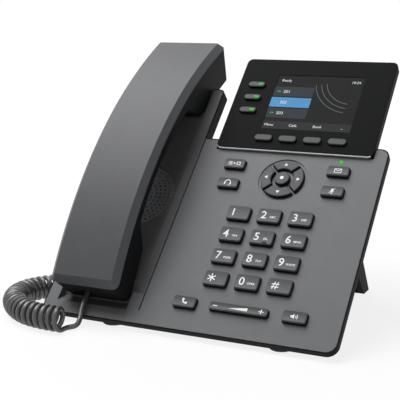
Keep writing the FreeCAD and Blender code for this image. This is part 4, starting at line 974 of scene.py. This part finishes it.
class PHONE_OT_screen(bpy.types.Operator):
    """Draws a plain call screen: a clock, three line rows and soft-key labels"""

    bl_idname = "phone.screen"
    bl_label = "Screen picture"

    def execute(self, context):
        palette = colours()
        low, high = plate_box("lcd_module")
        w = high[2]
        over = w + SECOND_LAYER
        left, bottom = low[:2] + SCREEN_BORDER
        right, top = high[:2] - SCREEN_BORDER
        row = lit_surface("Screen picture, row", palette.row, strength=0.7)
        chosen = lit_surface("Screen picture, chosen row", palette.chosen, strength=0.9)
        bar = lit_surface("Screen picture, bar", palette.bar, strength=0.7)
        white = lit_surface("Screen picture, text", palette.text, strength=0.9)
        green = lit_surface("Screen picture, green mark", palette.lamp, strength=0.9)
        arc = lit_surface("Screen picture, backdrop curves", palette.curves, strength=0.6)
        self.patch("screen_bar", [[box_outline(left, right, bottom, bottom + BAR_HEIGHT)]], bar, w)
        texts = []
        for i, number in enumerate(SCREEN_LINES):
            v = top - ROW_FIRST - i * ROW_PITCH
            outline = box_outline(left, left + ROW_WIDTH, v - ROW_HALF, v + ROW_HALF)
            finish = chosen if number == CHOSEN_LINE else row
            self.patch(f"screen_row_{i + 1}", [[outline]], finish, w)
            squares = [box_outline(*square) + np.array([left + STATE_LEFT, v]) for square in STATE_SQUARES]
            self.patch(f"screen_state_{i + 1}", [squares], green, over)
            digits = lettering(number, NUMBER_HEIGHT, "LEFT")
            texts.append(placed(digits, left + NUMBER_LEFT, v - NUMBER_HEIGHT / 2, over))
        header = top - HEADER_DROP
        texts.append(placed(lettering(SCREEN_STATE, TEXT_HEIGHT, "LEFT"), left + HEADER_LEFT, header, w))
        texts.append(placed(lettering(SCREEN_CLOCK, TEXT_HEIGHT, "RIGHT"), right - HEADER_RIGHT, header, w))
        for i, label in enumerate(SCREEN_LABELS):
            middle = key_top(f"key_soft_{i + 1}")[0]
            texts.append(placed(lettering(label, TEXT_HEIGHT), middle, bottom + LABEL_LIFT, over))
        mesh_piece("screen_text", *joined(texts), white, "base", "screen_glass")
        waves = [
            [band_outline(right - CURVE_IN, top - CURVE_DROP, r, CURVE_WIDTH, *CURVE_ENDS)]
            for r in CURVE_RADII
        ]
        self.patch("screen_backdrop", waves, arc, w)
        return {"FINISHED"}

    def patch(self, name, shapes, finish, w):
        """A piece of flat shapes on the screen."""
        mesh_piece(name, *placed(figure(*shapes), 0, 0, w), finish, "base", "screen_glass")


# Strip on the lower edge of the display head, a painted highlight over a grey sill, in mm, with the degrees
# and steps of its corner arcs
STRIP_CORNER = 3.7
STRIP_THICKNESS = 0.16
HIGHLIGHT_HEIGHT = 0.9
STRIP_DROP = 0.1
STRIP_START = 215
STRIP_FLAT = 270
STRIP_STOP = 305
STRIP_STEPS = 8


class PHONE_OT_display_edge_highlight(bpy.types.Operator):
    """Lays a thin strip of painted highlight along the lower edge of the display head, over a grey sill"""

    bl_idname = "phone.display_trim"
    bl_label = "Display trim"

    def execute(self, context):
        low, high = plate_box("display_housing")
        # The light, faintly glowing strip is a painted highlight for the light that the head's lower edge
        # catches
        painted_highlight = ink_with_painted_glow("Silver paint on the lower edge", colours().trim)
        split = high[2] - HIGHLIGHT_HEIGHT
        for name, finish, bottom, top in (
            ("display_trim", painted_highlight, split, high[2] - STRIP_DROP),
            ("display_sill", plastic("plate"), STRIP_DROP, split),
        ):
            strip = self.edge_strip(low, high, box_outline(0.0, STRIP_THICKNESS, bottom, top))
            mesh_piece(name, *strip, finish, "base", "black_plastic")
        return {"FINISHED"}

    def edge_strip(self, low, high, section):
        """A section carried along two corner arcs and the straight edge between them.

        Each ring is the arc's centre plus its radius and the section's reach along the arc's own heading.
        """
        left_turn = np.linspace(STRIP_START, STRIP_FLAT, STRIP_STEPS)
        right_turn = np.linspace(STRIP_FLAT, STRIP_STOP, STRIP_STEPS)
        turn = np.radians(np.concatenate([left_turn, right_turn]))[:, None]
        centre_u = np.repeat([low[0] + STRIP_CORNER, high[0] - STRIP_CORNER], STRIP_STEPS)[:, None]
        reach = STRIP_CORNER + section[None, :, 0]
        u = centre_u + reach * np.cos(turn)
        v = low[1] + STRIP_CORNER + reach * np.sin(turn)
        w = np.broadcast_to(section[None, :, 1], u.shape)
        rings = np.dstack([u, v, w]).reshape(-1, 3)
        return on_plate(rings), capped_faces(len(turn), len(section))


# Routes repeated from the solids, from the base's left side, its front edge and the table, in mm
BASE_LEFT = -91.5
COIL_ROUTE = [
    (27.0, -18.3),
    (8.5, -18.6),
    (-10.0, -9.5),
    (-23.0, 5.5),
    (-25.1, 22.0),
    (-16.0, 38.2),
    (-2.0, 46.8),
    (17.5, 47.0),
    (33.5, 62.8),
    (33.3, 85.4),
    (17.5, 101.2),
    (-0.5, 103.0),
]
LEAD_ROUTE = [(30.6, -4.4, 4.6), (31.4, -9.4, 1.8)]
TAIL_ROUTE = [
    (-3.9, 88.4, 2.2),
    (-8.1, 82.0, 6.6),
    (-12.3, 76.2, 13.6),
    (-14.7, 70.2, 21.4),
    (-14.5, 63.6, 29.2),
    (-11.1, 57.0, 35.2),
]

# Where the cord leaves the handset on the plate, its straight start there, and other lengths, in mm
CORD_EXIT = (-63.05, 14.15, 3.0)
LEAD_STRAIGHT = 7.8
FLOOR_GAP = 0.1
PLUG_HEIGHT = 6.5

# Control points on the straight runs beside the curls and at the base plug, in cord diameters
LEAD_JOIN = (1.7, 0.7, 0)
TAIL_JOIN = (0, 1, 3)
PLUG_JOIN = 3

# Points along the cord: in a curl, in the lead and in the tail
CURL_STEPS = 30
LEAD_STEPS = 40
TAIL_STEPS = 90


def table_points(route):
    """Route points from the base's left side, front edge and table to the frame, in mm."""
    return np.array(route, float) + np.array([BASE_LEFT, FRONT_EDGE[1], 0.0])


def smooth_line(points):
    """Points along the smooth spline that a route controls."""
    curve = bpy.data.curves.new("route", "CURVE")
    curve.dimensions = "3D"
    curve.resolution_u = 24
    spline = curve.splines.new("NURBS")
    spline.points.add(len(points) - 1)
    spline.points.foreach_set("co", np.column_stack([points, np.ones(len(points))]).ravel())
    spline.order_u = 3
    spline.use_endpoint_u = True
    return curve_mesh(curve)[0]


def curl_line(axis_points):
    """Helix on the coil's middle line: radius times sine to the left and minus cosine upwards."""
    radius = size("coil")
    line = smooth_line(axis_points)
    turns = round(run_along(line)[-1] / size("pitch"))
    axis = evenly(line, turns * CURL_STEPS + 1)
    ahead = np.gradient(axis, axis=0)
    ahead /= np.linalg.norm(ahead, axis=1, keepdims=True)
    left = np.column_stack([-ahead[:, 1], ahead[:, 0], np.zeros(len(axis))])
    angle = 2 * np.pi * np.arange(len(axis)) / CURL_STEPS
    offset = left * (radius * np.sin(angle))[:, None]
    offset[:, 2] -= radius * np.cos(angle)
    return axis + offset


def level(step):
    """Heading of a step along the table, of length one."""
    flat = np.array([step[0], step[1], 0.0])
    return flat / np.linalg.norm(flat)


def cord_line():
    """The cord's middle line from handset plug to base plug in mm, and the index of its lead's end."""
    d = size("cord")
    height = size("coil") + d / 2 + FLOOR_GAP
    curls = curl_line(table_points([(x, y, height) for x, y in COIL_ROUTE]))
    heading_in = level(curls[1] - curls[0])
    heading_out = level(curls[-1] - curls[-2])
    u, v, w = CORD_EXIT
    lead_start = on_plate([(u, v, w), (u, v - LEAD_STRAIGHT, w)]) / MM
    lead_end = [curls[0] - heading_in * k * d for k in LEAD_JOIN]
    lead = smooth_line(np.concatenate([lead_start, table_points(LEAD_ROUTE), lead_end]))
    low, high = plate_box("base_plug")
    plug = on_plate([(low[0], (low[1] + high[1]) / 2, high[2] - PLUG_HEIGHT / 2)]) / MM
    tail_start = [curls[-1] + heading_out * k * d for k in TAIL_JOIN]
    tail_end = np.concatenate([plug - PLUG_JOIN * d * RIGHT, plug])
    tail = smooth_line(np.concatenate([tail_start, table_points(TAIL_ROUTE), tail_end]))
    lead = evenly(lead, LEAD_STEPS)[:-1]
    tail = evenly(tail, TAIL_STEPS)[1:]
    return np.concatenate([lead, curls, tail]), len(lead)


class PHONE_OT_cord(bpy.types.Operator):
    """Winds the curly handset cord: a lead from the handset, and the rest that lies still"""

    bl_idname = "phone.cord"
    bl_label = "Curly cord"

    def execute(self, context):
        line, split = cord_line()
        lead = line[: split + 1] * MM
        curls = line[split:] * MM
        stretch = self.tube("cord_stretch", lead)
        rest = self.tube("cord_rest", curls)
        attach(rest, "base")
        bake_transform(stretch)
        for piece, part, plug in ((stretch, lead, "handset_plug"), (rest, curls, "base_plug")):
            size("cord") * MM
        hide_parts("cord_coil", "cord_tail")
        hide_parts("cord_lead")
        return {"FINISHED"}

    def tube(self, name, path):
        """A length of the cord as a round tube in its jacket."""
        piece = closed_piece(name, *swept_tube(path, size("cord") / 2 * MM), plastic("cord"))
        return piece


# Studio in metres and watts: softboxes with their name, place, side and power, and what they face
SOFTBOXES = [
    ("Overhead softbox", (-0.4, 0.0, 1.08), 0.9, 12.7),
    ("Front fill", (0.6, -1.3, 0.5), 0.8, 0.4),
]
LIGHTS_AIM = Vector((0.0, 0.0, 0.07))
WHITE = (1.0, 1.0, 1.0, 1.0)
ROOM_STRENGTH = 0.04
SURROUND_STRENGTH = 1.0

# Floor sheet: its grey, its glow to the eye, and where in metres its glow's share grows to the whole
PAPER = (0.82, 0.82, 0.82, 1.0)
PAPER_GLOW = 1.06
GLOW_FADE = {"From Min": 0.12, "From Max": 0.4, "To Min": 0.8, "To Max": 1.0}
FLOOR_REACH = 3.0

# Camera fitted to the photograph: sensor and lens in mm, place in metres and heading
SENSOR = 36.0
LENS = 89.0
CAMERA_PLACE = (0.2374, FRONT_EDGE[1] * MM - 0.4693, 0.1830)
CAMERA_HEADING = Vector((-0.4220, 0.8856, -0.1940))


def direct_view(tree):
    """One for rays from the camera, off gloss and through glass, so that these see the white surround."""
    rays = node(tree, "ShaderNodeLightPath").outputs
    share = rays["Is Camera Ray"]
    for ray in ("Is Glossy Ray", "Is Transmission Ray"):
        share = node(tree, "ShaderNodeMath", {0: share, 1: rays[ray]}, operation="MAXIMUM").outputs["Value"]
    return share


class PHONE_OT_stage(bpy.types.Operator):
    """Sets the floor, soft lights, white surround and the camera"""

    bl_idname = "phone.stage"
    bl_label = "Studio"

    def execute(self, context):
        self.floor()
        self.surround(context.scene)
        for softbox in SOFTBOXES:
            self.lamp(*softbox)
        self.camera(context.scene)
        return {"FINISHED"}

    def floor(self):
        """Pale matt sheet that shows as white to the eye and keeps a soft contact shadow."""
        mesh = bpy.data.meshes.new("floor")
        corners = box_outline(-FLOOR_REACH, FLOOR_REACH, -FLOOR_REACH, FLOOR_REACH)
        mesh.from_pydata([(x, y, 0.0) for x, y in corners.tolist()], [], [(0, 1, 2, 3)])
        mesh.materials.append(self.sheet())
        floor = bpy.data.objects.new("floor", mesh)
        bpy.context.collection.objects.link(floor)

    def sheet(self):
        """Grey paper mixed with a white glow that only the eye sees, less of it near the phone."""
        material, tree, place = new_material("Pale seamless sheet")
        values = {
            "Base Color": PAPER,
            "Roughness": 0.8,
            "Normal": grain(tree, place, size_mm=2.0, depth_mm=0.02),
        }
        paper = node(tree, "ShaderNodeBsdfPrincipled", values).outputs["BSDF"]
        white = node(tree, "ShaderNodeEmission", {"Color": WHITE, "Strength": PAPER_GLOW}).outputs["Emission"]
        distance = node(tree, "ShaderNodeVectorMath", {0: place}, operation="LENGTH").outputs["Value"]
        fade = node(tree, "ShaderNodeMapRange", {"Value": distance, **GLOW_FADE}).outputs["Result"]
        share = node(tree, "ShaderNodeMath", {0: direct_view(tree), 1: fade}, operation="MULTIPLY")
        mix = node(tree, "ShaderNodeMixShader", {0: share.outputs["Value"], 1: paper, 2: white})
        node(tree, "ShaderNodeOutputMaterial", {"Surface": mix.outputs["Shader"]})
        return material

    def surround(self, scene):
        """White to the camera, a dim room to the object."""
        world = bpy.data.worlds.new("Studio surround")
        scene.world = world
        world.use_nodes = True
        tree = world.node_tree
        tree.nodes.clear()
        room, white = [
            node(tree, "ShaderNodeBackground", {"Color": WHITE, "Strength": strength}).outputs["Background"]
            for strength in (ROOM_STRENGTH, SURROUND_STRENGTH)
        ]
        mix = node(tree, "ShaderNodeMixShader", {0: direct_view(tree), 1: room, 2: white})
        node(tree, "ShaderNodeOutputWorld", {"Surface": mix.outputs["Shader"]})

    def lamp(self, name, place, side, power):
        """A square softbox that faces the phone."""
        light = bpy.data.lights.new(name, "AREA")
        light.size = side
        light.energy = power
        lamp = bpy.data.objects.new(name, light)
        lamp.location = place
        aim = LIGHTS_AIM - Vector(place)
        lamp.rotation_euler = aim.to_track_quat("-Z", "Y").to_euler()
        bpy.context.collection.objects.link(lamp)

    def camera(self, scene):
        """The photograph's viewpoint: a long lens from the front right, a little above."""
        lens = bpy.data.cameras.new("camera")
        lens.sensor_width = SENSOR
        lens.lens = LENS
        camera = bpy.data.objects.new("camera", lens)
        camera.location = CAMERA_PLACE
        camera.rotation_euler = CAMERA_HEADING.to_track_quat("-Z", "Y").to_euler()
        bpy.context.collection.objects.link(camera)
        scene.camera = camera
        scene.view_settings.view_transform = "Standard"


class PHONE_PT_panel(bpy.types.Panel):
    """Lists the steps that dress the phone"""

    bl_idname = "PHONE_PT_panel"
    bl_label = "Desk phone"
    bl_space_type = "VIEW_3D"
    bl_region_type = "UI"
    bl_category = "Phone"

    def draw(self, context):
        for operator in OPERATORS:
            self.layout.operator(operator.bl_idname)
        for group in (context.scene.phone_sizes, context.scene.phone_colours):
            for name in group.__annotations__:
                self.layout.prop(group, name)


OPERATORS = [
    PHONE_OT_finishes,
    PHONE_OT_key_tops,
    PHONE_OT_dial_legends,
    PHONE_OT_function_icons,
    PHONE_OT_navigation_marks,
    PHONE_OT_lamps,
    PHONE_OT_screen,
    PHONE_OT_display_edge_highlight,
    PHONE_OT_cord,
    PHONE_OT_stage,
]
CLASSES = [PhoneColours, PhoneSizes] + OPERATORS + [PHONE_PT_panel]


def register():
    """Registers the settings, operators and panel."""
    for entry in CLASSES:
        bpy.utils.register_class(entry)
    bpy.types.Scene.phone_colours = bpy.props.PointerProperty(type=PhoneColours)
    bpy.types.Scene.phone_sizes = bpy.props.PointerProperty(type=PhoneSizes)


def unregister():
    """Removes what register added."""
    del bpy.types.Scene.phone_sizes
    del bpy.types.Scene.phone_colours
    for entry in reversed(CLASSES):
        bpy.utils.unregister_class(entry)


def main():
    """Dresses the phone, step by step."""
    register()
    for operator in OPERATORS:
        group, name = operator.bl_idname.split(".")
        getattr(getattr(bpy.ops, group), name)()


if __name__ == "__main__":
    main()
